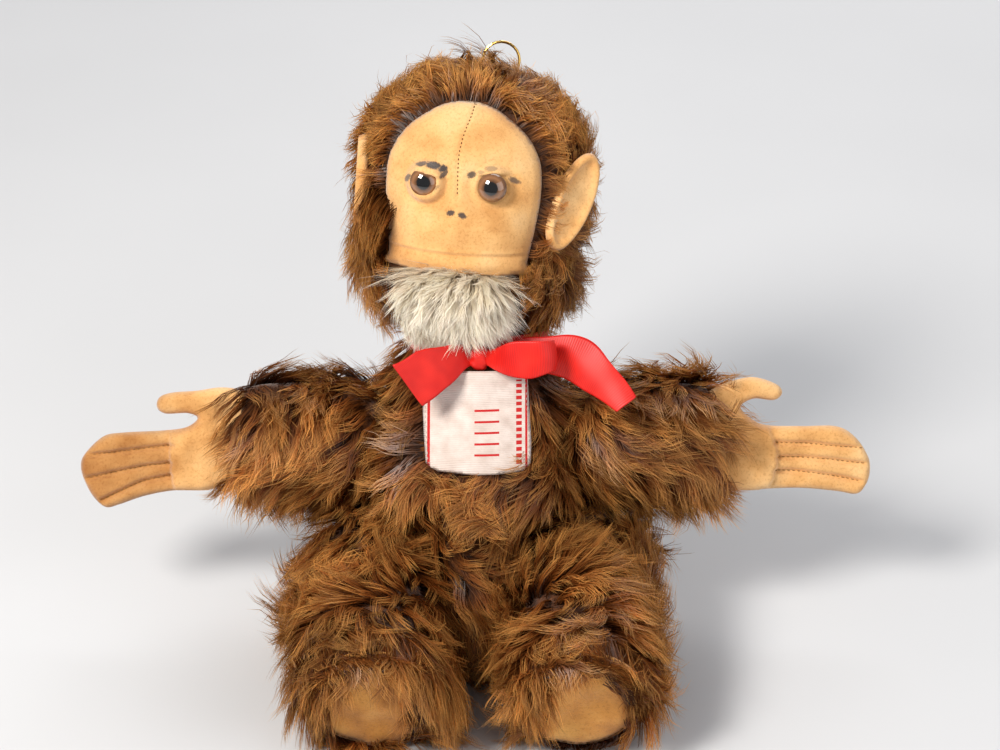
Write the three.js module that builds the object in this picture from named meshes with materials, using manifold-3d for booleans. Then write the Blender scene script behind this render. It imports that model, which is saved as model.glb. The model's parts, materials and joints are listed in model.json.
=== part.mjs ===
// A sitting stuffed monkey in long mohair, with felt face, hands, ears and soles, and a wind-up music
// movement in its belly. Millimetres, +Z up. It faces -Y, and its own left side is +X. The origin is
// on the floor, in the middle of its seat, under the hip axis.

import * as THREE from 'three';
import { mergeVertices } from 'three/addons/utils/BufferGeometryUtils.js';
import Module from 'manifold-3d';

const wasm = await Module();
wasm.setup();

// ---------------------------------------------------------------- driving dimensions

const HIP_Z = 31; // height of the hip axis over the floor, which is also the thigh's radius
const RECLINE = THREE.MathUtils.degToRad(20); // how far the torso leans back as it sits
const PLUSH = 4; // backing cloth with the pile pressed down
const GAP = 0.4; // between pieces that touch
const COLUMN = 17; // half width of the lower torso, between the legs
const LEG_X = 41; // thigh's middle from the middle plane
const LEG_WIDE = 28; // half the thigh's width
const LEG_LENGTH = 94; // hip axis to the ankle seam
const SOLE_TILT = THREE.MathUtils.degToRad(16); // how far the toes point down
const ARM_X = 54;
const ARM_Z = 58; // shoulders, from the hip axis up the torso
const ARM_SWING = THREE.MathUtils.degToRad(25);
const CUFF = 48; // shoulder to the sleeve's open end
const NECK_TOP = 104;
const HEAD_BASE = 106;
const HEAD_TURN = THREE.MathUtils.degToRad(-8);
const HEAD_LEAN = THREE.MathUtils.degToRad(4);
const HEAD_SIDE = -6; // the head's form from the neck pin
const DEPTH = 0.76; // the torso's depth as a share of its width
const EYE_RADIUS = 6;

// ---------------------------------------------------------------- materials

const finish = (color, roughness, metalness = 0) =>
  new THREE.MeshStandardMaterial({ color, roughness, metalness });
const mohair = finish(0x6b3c17, 0.9);
const felt = finish(0xe6a764, 0.95);
const whiteMohair = finish(0xd9d2c4, 0.9);
const stuffing = finish(0xcdb98a, 1);
const satin = finish(0xd8231c, 0.4);
const weave = finish(0xefe6da, 0.7);
const glass = finish(0x3a1d0a, 0.08);
const fibre = finish(0x8a6b48, 0.85);
const steel = finish(0xb9bcc0, 0.35, 1);
const brass = finish(0xcaa144, 0.3, 1);
const tin = finish(0xa9adb0, 0.4, 1);
const tape = finish(0xb89b72, 0.9);

// ---------------------------------------------------------------- solids

// A closed geometry, or a solid that is already made, as a manifold-3d solid that faces out.
function solidOf(shape) {
  if (shape instanceof wasm.Manifold) return shape;
  const bare = shape.index ? shape.toNonIndexed() : shape.clone();
  for (const name of Object.keys(bare.attributes)) if (name !== 'position') bare.deleteAttribute(name);
  const merged = mergeVertices(bare, 1e-4);
  const vertProperties = merged.attributes.position.array;
  const triVerts = new Uint32Array(merged.index.array);
  const made = new wasm.Manifold(new wasm.Mesh({ numProp: 3, vertProperties, triVerts }));
  if (made.volume() > 0) return made;
  for (let i = 0; i < triVerts.length; i += 3)
    [triVerts[i + 1], triVerts[i + 2]] = [triVerts[i + 2], triVerts[i + 1]];
  return new wasm.Manifold(new wasm.Mesh({ numProp: 3, vertProperties, triVerts }));
}

const join = (...shapes) => shapes.map(solidOf).reduce((a, b) => a.add(b));
const cut = (shape, ...tools) => tools.map(solidOf).reduce((a, b) => a.subtract(b), solidOf(shape));
const common = (...shapes) => shapes.map(solidOf).reduce((a, b) => a.intersect(b));

function geometryOf(solid) {
  const { numProp, vertProperties, triVerts } = solid.getMesh();
  const points = new Float32Array((vertProperties.length / numProp) * 3);
  for (let i = 0; i * numProp < vertProperties.length; i++)
    points.set(vertProperties.subarray(i * numProp, i * numProp + 3), i * 3);
  const made = new THREE.BufferGeometry();
  made.setAttribute('position', new THREE.BufferAttribute(points, 3));
  made.setIndex(new THREE.BufferAttribute(triVerts, 1));
  return made;
}

// Adds a named piece to a group.
function piece(group, name, shape, material) {
  const mesh = new THREE.Mesh(geometryOf(solidOf(shape)), material);
  mesh.name = name;
  group.add(mesh);
  return mesh;
}

const group = (parent, position = [0, 0, 0]) => {
  const made = new THREE.Group();
  made.position.set(...position);
  parent.add(made);
  return made;
};

const box = (size, at = [0, 0, 0]) => new THREE.BoxGeometry(...size).translate(...at);

const ellipsoid = (radii, at = [0, 0, 0], around = 14, down = 8) =>
  new THREE.SphereGeometry(1, around, down).rotateX(Math.PI / 2).scale(...radii).translate(...at);

// A round bar along X, Y or Z, from one place on that axis to another.
function bar(axis, radius, from, to, at = [0, 0, 0], sides = 12) {
  const made = new THREE.CylinderGeometry(radius, radius, to - from, sides);
  made.translate(0, (from + to) / 2, 0);
  if (axis === 'x') made.rotateZ(-Math.PI / 2);
  if (axis === 'z') made.rotateX(Math.PI / 2);
  return made.translate(...at);
}

// A profile of [radius, place] turned about Z.
const turned = (profile, sides = 16) =>
  new THREE.LatheGeometry(profile.map(([r, z]) => new THREE.Vector2(r, z)), sides).rotateX(Math.PI / 2);

// A quarter circle of [radius, place], from the axis at -radius out to the middle.
const roundEnd = (radius, steps = 4) =>
  Array.from({ length: steps + 1 }, (_, i) => {
    const a = (i / steps) * (Math.PI / 2);
    return [radius * Math.sin(a), -radius * Math.cos(a)];
  });

const outline = (points) => new THREE.Shape(points.map(([x, y]) => new THREE.Vector2(x, y)));

// A flat outline in X and Z, given thickness along Y about a middle place.
const plate = (shape, thick, y = 0, curveSegments = 6) =>
  new THREE.ExtrudeGeometry(shape, { depth: thick, bevelEnabled: false, curveSegments })
    .rotateX(Math.PI / 2)
    .translate(0, y + thick / 2, 0);

// ---------------------------------------------------------------- frame of groups

const root = new THREE.Group();
const torso = group(root, [0, 0, HIP_Z]);
torso.rotation.x = -RECLINE;
const head = group(torso);

// ---------------------------------------------------------------- torso

const TORSO = [
  [0, -37], [34, -36], [51, -25], [61, 0], [64, 32], [60, 56],
  [50, 73], [36, 86], [28, 92], [28, NECK_TOP], [0, NECK_TOP],
];
// The torso's whole form with its wall moved inwards by a thickness.
const torsoSkin = (by) => turned(
  TORSO.map(([r, z]) => [Math.max(0, r - by), z === NECK_TOP ? z - by : z]), 20,
).scale(1, DEPTH, 1);

// The room that a leg takes at one side of the torso, grown by a wall thickness.
const LEG_ROOM = 34;
function legRoom(side, wall) {
  const wide = 60;
  const middle = side * (COLUMN - wall + wide / 2);
  const reach = 80;
  return join(
    bar('x', LEG_ROOM + wall, -wide / 2, wide / 2, [middle, 0, 0], 20),
    box([wide, reach + LEG_ROOM + wall, reach], [middle, (LEG_ROOM + wall - reach) / 2, -reach / 2]),
    box([wide, reach, reach], [middle, -reach / 2, LEG_ROOM + wall - reach / 2]),
  );
}

const SLEEVE_RADIUS = 25;
// The sleeve's solid along its arm, grown by a thickness.
const sleeveSkin = (by, end = CUFF) => turned(
  [...roundEnd(SLEEVE_RADIUS - 0.5 + by), [SLEEVE_RADIUS + by, 20], [SLEEVE_RADIUS - 1.6 + by, end], [0, end]],
).rotateY(Math.PI / 2).scale(1, 0.92, 1);

// The room that an arm sweeps at one side of the torso: a fan about the shoulder.
function armRoom(side, by) {
  const r = SLEEVE_RADIUS + by;
  const at = (angle, far = 0) => [
    side * (ARM_X + r * Math.sin(-angle) + far * Math.cos(ARM_SWING)),
    ARM_Z + r * Math.cos(angle) + far * Math.sign(Math.cos(angle)) * Math.sin(ARM_SWING),
  ];
  const steps = 8;
  const round = Array.from({ length: steps + 1 }, (_, i) =>
    at(ARM_SWING + (i / steps) * (Math.PI - 2 * ARM_SWING)));
  const points = [at(ARM_SWING, 40), ...round, at(Math.PI - ARM_SWING, 40)];
  return plate(outline(points), 2 * r * 0.95);
}

// Everything under the floor, as seen from the leaning torso.
const underFloor = (lift = 0) =>
  box([400, 400, 200], [0, 0, -100 - HIP_Z + lift]).rotateX(RECLINE);

const SHAFT_V = 53; // the winding shaft, up the torso from the hip axis
const PIN_HOLE = 2.2;
const torsoBody = (by, armBy) => {
  const rooms = [1, -1].flatMap((side) => [legRoom(side, by), armRoom(side, armBy)]);
  return cut(torsoSkin(by), ...rooms, underFloor(by));
};
const ARM_CLEAR = 1.6; // room round a swinging arm
const torsoInside = torsoBody(PLUSH, PLUSH + ARM_CLEAR);
piece(torso, 'body_cover', cut(
  torsoBody(0, ARM_CLEAR),
  torsoInside,
  bar('x', PIN_HOLE, -COLUMN - 2, COLUMN + 2, [0, 0, 0], 12),
  bar('z', PIN_HOLE, NECK_TOP - 10, NECK_TOP + 2, [0, 0, 0], 12),
  bar('y', 3.2, 20, 70, [0, 0, SHAFT_V], 14),
), mohair);

// ---------------------------------------------------------------- music movement's place

const CASE = { x0: -16.5, x1: 36.5, y: 20, z0: -5, z1: 25, wall: 1 };
const PLATE_Y = 18; // the bedplate's place from front to back
const SIZE = 0.82; // the movement is drawn at a larger size, and made this much smaller
const movement = group(torso, [0, PLATE_Y, SHAFT_V]);
movement.scale.setScalar(SIZE);
// The movement's own axes: X up the torso, Y to the monkey's right, Z to the monkey's front.
const upTorso = new THREE.Vector3(0, 0, 1);
const toRight = new THREE.Vector3(-1, 0, 0);
const toFront = new THREE.Vector3(0, -1, 0);
movement.quaternion.setFromRotationMatrix(new THREE.Matrix4().makeBasis(upTorso, toRight, toFront));

const caseRoom = box(
  [2 * CASE.y, CASE.z1 - CASE.z0, CASE.x1 - CASE.x0].map((size) => size * SIZE + 2 * GAP),
  [0, PLATE_Y - SIZE * (CASE.z0 + CASE.z1) / 2, SHAFT_V + SIZE * (CASE.x0 + CASE.x1) / 2],
);

const DISC = { radius: 13, thick: 2 };
piece(torso, 'body_stuffing', cut(
  torsoBody(PLUSH + GAP, PLUSH + ARM_CLEAR + GAP),
  caseRoom,
  bar('x', DISC.radius + 1, -COLUMN, COLUMN, [0, 0, 0], 20),
  bar('z', DISC.radius + 1, NECK_TOP - 16, NECK_TOP, [0, 0, 0], 20),
  bar('y', 5, 20, 70, [0, 0, SHAFT_V], 12),
), stuffing);

// ---------------------------------------------------------------- disc joints

// A disc joint's split pin along Z from its round head, at the top, to its two curled ends.
function splitPin(length) {
  const wire = outline([[0.6, 0.6], [-0.6, 0.6], [-0.6, -0.6], [0.6, -0.6]]);
  const curl = (side) => {
    const path = new THREE.CatmullRomCurve3([
      new THREE.Vector3(0, 0, 1.4),
      new THREE.Vector3(side * 1.4, 0, 0),
      new THREE.Vector3(side * 3.6, 0, 0.2),
      new THREE.Vector3(side * 4.6, 0, 1.6),
    ]);
    return new THREE.ExtrudeGeometry(wire, { steps: 3, extrudePath: path });
  };
  return join(
    bar('z', 1.3, 0.8, length - 1, [0, 0, 0], 8),
    ellipsoid([2.6, 1.6, 1.8], [0, 0, length - 1.2], 8, 6),
    curl(1),
    curl(-1),
  );
}

const washer = (outer, hole, from, thick) =>
  cut(bar('z', outer, from, from + thick, [0, 0, 0], 16), bar('z', hole, from - 1, from + thick + 1, [0, 0, 0], 12));

// The pieces of a disc joint whose cloth faces meet at face, with the moving side towards +Z.
// The still side's disc and washer go to still, and the rest to moving.
function discJoint(name, still, moving, face, { place, lift = 0 }) {
  const under = face - PLUSH - GAP;
  const over = face + lift + PLUSH + GAP;
  const put = (shape) => place(geometryOf(solidOf(shape)));
  piece(still, name + '_disc_inner', put(washer(DISC.radius, 1.8, under - DISC.thick, DISC.thick)), fibre);
  piece(moving, name + '_disc_outer', put(washer(DISC.radius, 1.5, over, DISC.thick)), fibre);
  const end = under - DISC.thick - 3.4;
  const length = over + DISC.thick + 3.4 - end;
  piece(moving, name + '_pin', put(geometryOf(splitPin(length)).translate(0, 0, end)), steel);
}

discJoint('neck', torso, head, NECK_TOP, { place: (g) => g, lift: HEAD_BASE - NECK_TOP });

// ---------------------------------------------------------------- legs

const LEG = [[HIP_Z, 26], [29.3, 66], [29.3, 116]];
// The leg's solid along -Y from the hip axis, with its wall moved inwards.
function legSkin(side, by) {
  const profile = [...roundEnd(HIP_Z - by), ...LEG.map(([r, t]) => [r - by, t]), [0, LEG.at(-1)[1]]];
  const whole = turned(profile).rotateZ(Math.PI / 16).rotateX(Math.PI / 2)
    .scale(LEG_WIDE / HIP_Z, 1, 1).translate(side * LEG_X, 0, 0);
  return cut(whole, box([80, 400, 200], [side * (COLUMN + GAP + by - 40), 0, 0]));
}

// Everything past a place on the leg, square to the sole.
const pastAnkle = (t) =>
  box([200, 200, 200], [0, -100, 0]).rotateX(SOLE_TILT).translate(0, -t, 0);

const legSlice = (side, by, from, to) =>
  cut(common(legSkin(side, by), pastAnkle(from)), pastAnkle(to));

for (const [name, side] of [['left', 1], ['right', -1]]) {
  const leg = group(root, [0, 0, HIP_Z]);
  const pinHole = bar('x', PIN_HOLE, 0, side * 30, [0, 0, 0], 12);
  const disc = bar('x', DISC.radius + 1, side * COLUMN, side * (COLUMN + PLUSH + 8), [0, 0, 0], 20);
  piece(leg, `${name}_leg_cover`, cut(
    legSkin(side, 0), legSkin(side, PLUSH), pastAnkle(LEG_LENGTH), pinHole,
  ), mohair);
  piece(leg, `${name}_leg_stuffing`, cut(
    legSkin(side, PLUSH + GAP), pastAnkle(LEG_LENGTH - 3), disc,
  ), stuffing);
  piece(leg, `${name}_insole`, legSlice(side, PLUSH + GAP, LEG_LENGTH - 2.5, LEG_LENGTH - 0.5), fibre);
  piece(leg, `${name}_sole`, legSlice(side, 0, LEG_LENGTH + GAP, LEG_LENGTH + GAP + 3), felt);
  discJoint(`${name}_hip`, torso, leg, COLUMN, {
    place: (g) => (side > 0 ? g.rotateY(Math.PI / 2) : g.rotateY(-Math.PI / 2)),
    lift: GAP,
  });
}

// ---------------------------------------------------------------- arms

// The hand in X, along the arm from the shoulder, and Z, with the thumb on top.
const HAND = new THREE.Shape();
HAND.moveTo(42, -17);
HAND.lineTo(51, -18);
HAND.bezierCurveTo(64, -25, 84, -24, 97, -26);
HAND.bezierCurveTo(107, -27, 112, -18, 111.5, -10);
HAND.bezierCurveTo(111, -3, 104, 2, 96, 2.4);
HAND.lineTo(72, 2);
HAND.bezierCurveTo(64, 2.5, 60, 6, 57.5, 10);
HAND.lineTo(74, 10.5);
HAND.bezierCurveTo(80, 11, 80, 19, 74, 19.4);
HAND.bezierCurveTo(66, 20, 58, 20, 51, 17.5);
HAND.lineTo(42, 15);
const FINGER_THICK = 9;

for (const [name, side] of [['left', 1], ['right', -1]]) {
  const arm = group(torso, [side * ARM_X, 0, ARM_Z]);
  const mirrored = (shape) => geometryOf(solidOf(shape)).scale(side, 1, 1);
  piece(arm, `${name}_sleeve`, mirrored(cut(sleeveSkin(0), sleeveSkin(-PLUSH, CUFF + 4))), mohair);
  piece(arm, `${name}_arm_stuffing`, mirrored(cut(
    sleeveSkin(-PLUSH - GAP, CUFF - 10), box([10, 90, 90], [CUFF - 5, 0, 0]),
  )), stuffing);
  const wrist = bar('x', 16, CUFF - 7, CUFF + 3, [0, 0, 0], 16).scale(1, 0.6, 1);
  const fingers = plate(HAND, FINGER_THICK, 0, 4);
  const palm = ellipsoid([15, 8, 18], [CUFF + 10, 0, -3], 14, 8);
  piece(arm, `${name}_hand`, mirrored(join(wrist, fingers, palm)), felt);
}

// ---------------------------------------------------------------- head

// The head's outer form, grown by a thickness, before it is cut flat at the neck.
function headForm(by) {
  return join(
    ellipsoid([47 + by, 43 + by, 45 + by], [0, 2, 167], 16, 10),
    ellipsoid([43 + by, 40 + by, 34 + by], [0, -1, 136], 16, 10),
    ellipsoid([28 + by, 17 + by, 21 + by], [0, -27, 148], 12, 8),
  );
}
const turnHead = (shape) => geometryOf(solidOf(shape))
  .translate(HEAD_SIDE, 0, -HEAD_BASE)
  .rotateY(HEAD_LEAN)
  .rotateZ(HEAD_TURN)
  .translate(0, 0, HEAD_BASE);
const underHead = (lift) => box([200, 200, 100], [0, 0, HEAD_BASE + lift - 50]);

// The felt face's outline, seen from the front, grown by an edge.
function facePrism(grow) {
  const face = new THREE.Shape();
  const low = 131.5 - grow;
  const half = 29 + grow;
  face.moveTo(-half, low);
  face.lineTo(half, low);
  face.bezierCurveTo(half + 2, 150, half + 5, 178, half - 4, 190);
  face.bezierCurveTo(20, 200 + grow, 10, 202 + grow, 0, 202 + grow);
  face.bezierCurveTo(-10, 202 + grow, -20, 200 + grow, -half + 4, 190);
  face.bezierCurveTo(-half - 5, 178, -half - 2, 150, -half, low);
  return plate(face, 80, -50, 3);
}

const EYES = [[13.8, -40.4, 167.5], [-13.8, -40.4, 167.5]];
const eyeBall = (at, grow) => join(
  ellipsoid([EYE_RADIUS + grow, 3.6 + grow, EYE_RADIUS + grow], at, 12, 8),
  bar('y', 0.9 + grow, at[1] + 1, at[1] + 13, [at[0], 0, at[2]], 8),
);
const eyeRoom = EYES.map((at) => eyeBall(at, GAP));

// The hanging ring stands on the crown, in a shallow trench that it swings in.
const RING = { radius: 7.6, wire: 0.6, foot: [10, 12, 206.3] };
const [ringX, ringY, ringZ] = RING.foot;
const RING_TRENCH = 1.2; // under the ring's foot
const ringRoom = box([16, 11, 20], [ringX, ringY, ringZ - RING_TRENCH + 10]);

const ears = [1, -1].map((side) => geometryOf(solidOf(ellipsoid([11, 3.2, 21.5], [0, 0, 0], 14, 8)))
  .rotateY(side * 0.24)
  .rotateZ(side * 0.65)
  .translate(side * 43.5, -17.5, 161.5));

piece(head, 'head_cover', cut(
  turnHead(cut(headForm(0), facePrism(GAP))),
  cut(turnHead(headForm(-PLUSH)), underHead(PLUSH)),
  underHead(0),
  ringRoom,
  bar('z', PIN_HOLE, HEAD_BASE - 5, HEAD_BASE + 5, [0, 0, 0], 12),
), mohair);
piece(head, 'head_stuffing', cut(
  turnHead(cut(headForm(-PLUSH - GAP), ...eyeRoom)),
  underHead(PLUSH + GAP),
  bar('z', DISC.radius + 1, HEAD_BASE, HEAD_BASE + PLUSH + 9, [0, 0, 0], 20),
), stuffing);
piece(head, 'face_mask', turnHead(cut(
  common(headForm(-0.5), facePrism(0)), headForm(-PLUSH), ...eyeRoom,
)), felt);
piece(head, 'chin_beard', turnHead(cut(
  ellipsoid([30, 11, 20], [0, -38, 122], 16, 10),
  headForm(GAP), facePrism(GAP), box([100, 100, 50], [0, -40, 131 + 25]), underHead(0),
)), whiteMohair);
EYES.forEach((at, i) => piece(head, `${i ? 'right' : 'left'}_eye`, turnHead(eyeBall(at, 0)), glass));
ears.forEach((ear, i) =>
  piece(head, `${i ? 'right' : 'left'}_ear`, turnHead(cut(ear, headForm(GAP))), felt));

// ---------------------------------------------------------------- hanging ring

const hoop = new THREE.TorusGeometry(RING.radius, RING.wire, 8, 24).rotateX(Math.PI / 2)
  .translate(ringX, ringY, ringZ + RING.radius);
piece(group(head), 'hanging_ring', hoop, brass);
piece(head, 'ring_tape', cut(
  bar('x', 1.7, -2, 2, RING.foot, 12),
  bar('x', 1.05, -3, 3, RING.foot, 12),
  box([8, 8, 4], [ringX, ringY, ringZ - RING_TRENCH + GAP - 2]),
), tape);

// ---------------------------------------------------------------- ribbon and label

const BAND = { low: 92.5, high: 103.5, radius: 29.2, thick: 0.9 };
piece(torso, 'neck_ribbon', turned([
  [BAND.radius, BAND.low], [BAND.radius + BAND.thick, BAND.low],
  [BAND.radius + BAND.thick, BAND.high], [BAND.radius, BAND.high], [BAND.radius, BAND.low],
], 20).scale(1, DEPTH + 0.02, 1), satin);

// A ribbon lying along points in X and Y, as tall as the ribbon is wide, with its ends square.
function ribbon(points, wide, thick = 1) {
  const line = new THREE.SplineCurve(points.map(([x, y]) => new THREE.Vector2(x, y))).getPoints(6);
  const edge = (side) => line.map((p, i) => {
    const a = line[Math.max(0, i - 1)];
    const b = line[Math.min(line.length - 1, i + 1)];
    const along = b.clone().sub(a).normalize();
    return new THREE.Vector2(p.x - along.y * side * thick / 2, p.y + along.x * side * thick / 2);
  });
  const strip = new THREE.Shape([...edge(-1), ...edge(1).reverse()]);
  return new THREE.ExtrudeGeometry(strip, { depth: wide, bevelEnabled: false })
    .translate(0, 0, -wide / 2);
}

const RIBBON = 15;
const KNOT = [1, -30, 96];
piece(torso, 'bow_knot', ellipsoid([4.5, 5, 6.5], KNOT, 10, 8), satin);
const bowPiece = (name, points, lean, wide, lift) => piece(torso, name,
  ribbon(points, wide).rotateY(lean).translate(KNOT[0], KNOT[1], KNOT[2] + lift), satin);
bowPiece('bow_tail_right', [[-6, -4], [-13, -13], [-22, -19], [-34, -22]], -0.1, RIBBON, -4);
bowPiece('bow_loop_left', [[6.5, -4.5], [14, -14], [24, -20], [30, -18], [24, -13], [14, -7], [7.5, -1]],
  0.1, RIBBON, 0);
bowPiece('bow_tail_left', [[7.4, 3], [20, -1], [32, -6], [46, -9], [62, -9]], 0.3, RIBBON, 2);

const LABEL = { x0: -22, x1: 23, z0: 51, z1: 88 };
const torsoShell = (by) => turned(TORSO.map(([r, z]) => [r ? r + by : 0, z]), 20).scale(1, DEPTH, 1);
piece(torso, 'chest_label', common(
  cut(torsoShell(1.6), torsoShell(0.6)),
  box([LABEL.x1 - LABEL.x0, 80, LABEL.z1 - LABEL.z0],
    [(LABEL.x0 + LABEL.x1) / 2, -50, (LABEL.z0 + LABEL.z1) / 2]),
), weave);

// ---------------------------------------------------------------- music movement

const SHAFT = 2; // the winding shaft's radius
const AXIS_Z = 17.2; // the melody cylinder's height over the bedplate's middle
const shaftHole = (r, from, to) => bar('z', r, from, to, [0, 0, 0], 14);

// A box whose side towards -Z or +Z is open.
function openBox(wall, z0, z1, openAt) {
  const long = CASE.x1 - CASE.x0;
  const middle = (CASE.x0 + CASE.x1) / 2;
  const outer = box([long, 2 * CASE.y, z1 - z0], [middle, 0, (z0 + z1) / 2]);
  const inner = box([long - 2 * wall, 2 * CASE.y - 2 * wall, z1 - z0],
    [middle, 0, (z0 + z1) / 2 + openAt * wall]);
  return cut(outer, inner);
}
piece(movement, 'music_case', openBox(CASE.wall, CASE.z0 + 1.4, CASE.z1, -1), tin);
piece(movement, 'music_case_lid', cut(
  box([CASE.x1 - CASE.x0, 2 * CASE.y, 1], [(CASE.x0 + CASE.x1) / 2, 0, CASE.z0 + 0.5]),
  shaftHole(3, CASE.z0 - 2, CASE.z0 + 2),
), tin);

const PLATE = { x0: -14.5, x1: 34.5, y: 17, thick: 2.4 };
piece(movement, 'bedplate', cut(
  box([PLATE.x1 - PLATE.x0, 2 * PLATE.y, PLATE.thick], [(PLATE.x0 + PLATE.x1) / 2, 0, 0]),
  shaftHole(SHAFT + 0.3, -3, 3),
), steel);
const onPlate = PLATE.thick / 2 + 0.3;

const BARREL = { radius: 10, high: 9.4, wall: 0.8 };
piece(movement, 'spring_barrel', cut(
  shaftHole(BARREL.radius, onPlate, BARREL.high),
  shaftHole(BARREL.radius - BARREL.wall, onPlate + BARREL.wall, BARREL.high + 1),
  shaftHole(SHAFT + 0.3, 0, 4),
), brass);

// The mainspring, a flat strip wound in a spiral in the barrel.
const SPRING = { inner: 4, outer: 8.5, turns: 2.5, thick: 0.6, steps: 30 };
function spiralEdge(offset) {
  return Array.from({ length: SPRING.steps + 1 }, (_, i) => {
    const share = i / SPRING.steps;
    const r = SPRING.inner + (SPRING.outer - SPRING.inner) * share + offset;
    const a = share * SPRING.turns * 2 * Math.PI;
    return new THREE.Vector2(r * Math.cos(a), r * Math.sin(a));
  });
}
const spiral = new THREE.Shape([...spiralEdge(-SPRING.thick / 2), ...spiralEdge(SPRING.thick / 2).reverse()]);
piece(movement, 'mainspring', new THREE.ExtrudeGeometry(spiral, {
  depth: BARREL.high - onPlate - BARREL.wall - 1, bevelEnabled: false,
}).translate(0, 0, onPlate + BARREL.wall + 0.4), steel);

// A gear about X: a hub with straight teeth, the first tooth at an angle from +Z.
function gear({ teeth, root: rootRadius, tip, wide, x0, x1, phase = 0 }) {
  const one = box([x1 - x0, wide, tip - rootRadius + 0.6], [(x0 + x1) / 2, 0, (tip + rootRadius - 0.6) / 2]);
  const all = Array.from({ length: teeth }, (_, i) => one.clone().rotateX(phase + (i * 2 * Math.PI) / teeth));
  return join(bar('x', rootRadius, x0, x1, [0, 0, 0], Math.min(24, teeth)), ...all);
}
const atAxis = (shape, y = 0) => geometryOf(solidOf(shape)).translate(0, y, AXIS_Z);

// Winding shaft with its crown wheel, whose teeth point to the front.
const CROWN = { teeth: 24, inner: 8.2, outer: 10.2, low: 10.4, rim: 12.4, tip: 13.9, wide: 0.75 };
const winding = group(movement);
const crownTooth = box([CROWN.outer - CROWN.inner, CROWN.wide, CROWN.tip - CROWN.rim + 0.4],
  [(CROWN.inner + CROWN.outer) / 2, 0, (CROWN.tip + CROWN.rim - 0.4) / 2]);
const BACK = (46.8 - PLATE_Y) / SIZE; // the cloth of the back at the shaft
piece(winding, 'winding_shaft', join(
  shaftHole(SHAFT, -BACK - 3, CROWN.rim),
  shaftHole(CROWN.outer, CROWN.low, CROWN.rim),
  ...Array.from({ length: CROWN.teeth }, (_, i) =>
    crownTooth.clone().rotateZ(((i + 0.5) * 2 * Math.PI) / CROWN.teeth)),
), steel);

// The key outside the back: a threaded boss and two round wings.
const KEY = { low: -BACK - 13, boss: -BACK - 3.3, wing: 7, thick: 2, spread: 7 };
const wing = (side) => bar('y', KEY.wing, -KEY.thick / 2, KEY.thick / 2, [side * KEY.spread, 0, KEY.low + 3], 14);
piece(winding, 'winding_key', join(
  bar('z', 3, KEY.low, KEY.boss, [0, 0, 0], 14), wing(1), wing(-1),
), steel);
piece(movement, 'key_grommet', cut(
  join(shaftHole(6, -BACK - 2, -BACK - 0.8), shaftHole(3.4, -BACK - 1, -BACK + 6)),
  shaftHole(SHAFT + 0.4, -BACK - 5, -BACK + 9),
), brass);

// Melody cylinder with its pinion, shaft, drive wheel and pins.
const PINION = { teeth: 10, root: 3, tip: 4.5, wide: 0.65, x0: 8.1, x1: 10.4 };
const DRIVE = { teeth: 24, root: 5.3, tip: 6.4, wide: 0.6, x0: 33.4, x1: 34.4 };
const DRUM = { radius: 5.5, x0: 13.4, x1: 27, pin: 0.3 };
const tunes = Array.from({ length: 9 }, (_, i) => {
  const x = DRUM.x0 + 1 + ((i * 5) % 12);
  return box([0.4, 0.4, 1], [x, 0, DRUM.radius + DRUM.pin - 0.5]).rotateX((i * 4 * 2 * Math.PI) / 9);
});
const cylinder = group(movement);
piece(cylinder, 'melody_cylinder', atAxis(join(
  bar('x', 1.1, PINION.x0 - 0.3, DRIVE.x1 + 0.4, [0, 0, 0], 12),
  bar('x', DRUM.radius, DRUM.x0, DRUM.x1, [0, 0, 0], 18),
  gear(PINION), gear(DRIVE), ...tunes,
)), brass);

// Comb: a block, a plate with eighteen tuned teeth, and two screws.
const COMB = { x0: 13.6, x1: 26.8, tips: 6.1, root: 12, back: 16.6, thick: 1, teeth: 14 };
const combMiddle = (COMB.x0 + COMB.x1) / 2;
const combLong = COMB.x1 - COMB.x0;
const pitch = combLong / COMB.teeth;
piece(movement, 'tone_comb', cut(join(
  box([combLong, COMB.back - COMB.root, COMB.thick], [combMiddle, (COMB.back + COMB.root) / 2, AXIS_Z]),
  ...Array.from({ length: COMB.teeth }, (_, i) => box(
    [pitch * 0.6, COMB.root - COMB.tips + 0.4, COMB.thick * 0.6],
    [COMB.x0 + (i + 0.5) * pitch, (COMB.root + COMB.tips + 0.4) / 2, AXIS_Z],
  )),
), ...[-1, 1].map((side) => bar('z', 1.1, 0, 30, [combMiddle + side * 4, 14.4, 0], 10))), steel);
const combUnder = AXIS_Z - COMB.thick / 2 - 0.3;
piece(movement, 'comb_block', cut(
  box([combLong, 4.2, combUnder - onPlate], [combMiddle, 14.5, (combUnder + onPlate) / 2]),
  ...[-1, 1].map((side) => bar('z', 1.1, combUnder - 5, 30, [combMiddle + side * 4, 14.4, 0], 10)),
), tin);
[-1, 1].forEach((side, i) => piece(movement, `comb_screw_${i + 1}`, join(
  bar('z', 0.8, combUnder - 4, AXIS_Z + 1, [combMiddle + side * 4, 14.4, 0], 8),
  bar('z', 1.6, AXIS_Z + 0.8, AXIS_Z + 1.8, [combMiddle + side * 4, 14.4, 0], 12),
), steel));

// Two upright bearings for the cylinder's shaft.
const bearing = (x0, x1) => cut(
  box([x1 - x0, 7, AXIS_Z + 3 - onPlate], [(x0 + x1) / 2, 0, (AXIS_Z + 3 + onPlate) / 2]),
  bar('x', 1.25, x0 - 1, x1 + 1, [0, 0, AXIS_Z], 12),
);
piece(movement, 'bearing_lower', bearing(11.3, 12.7), tin);
piece(movement, 'bearing_upper', bearing(31.4, 32.8), tin);

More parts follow.
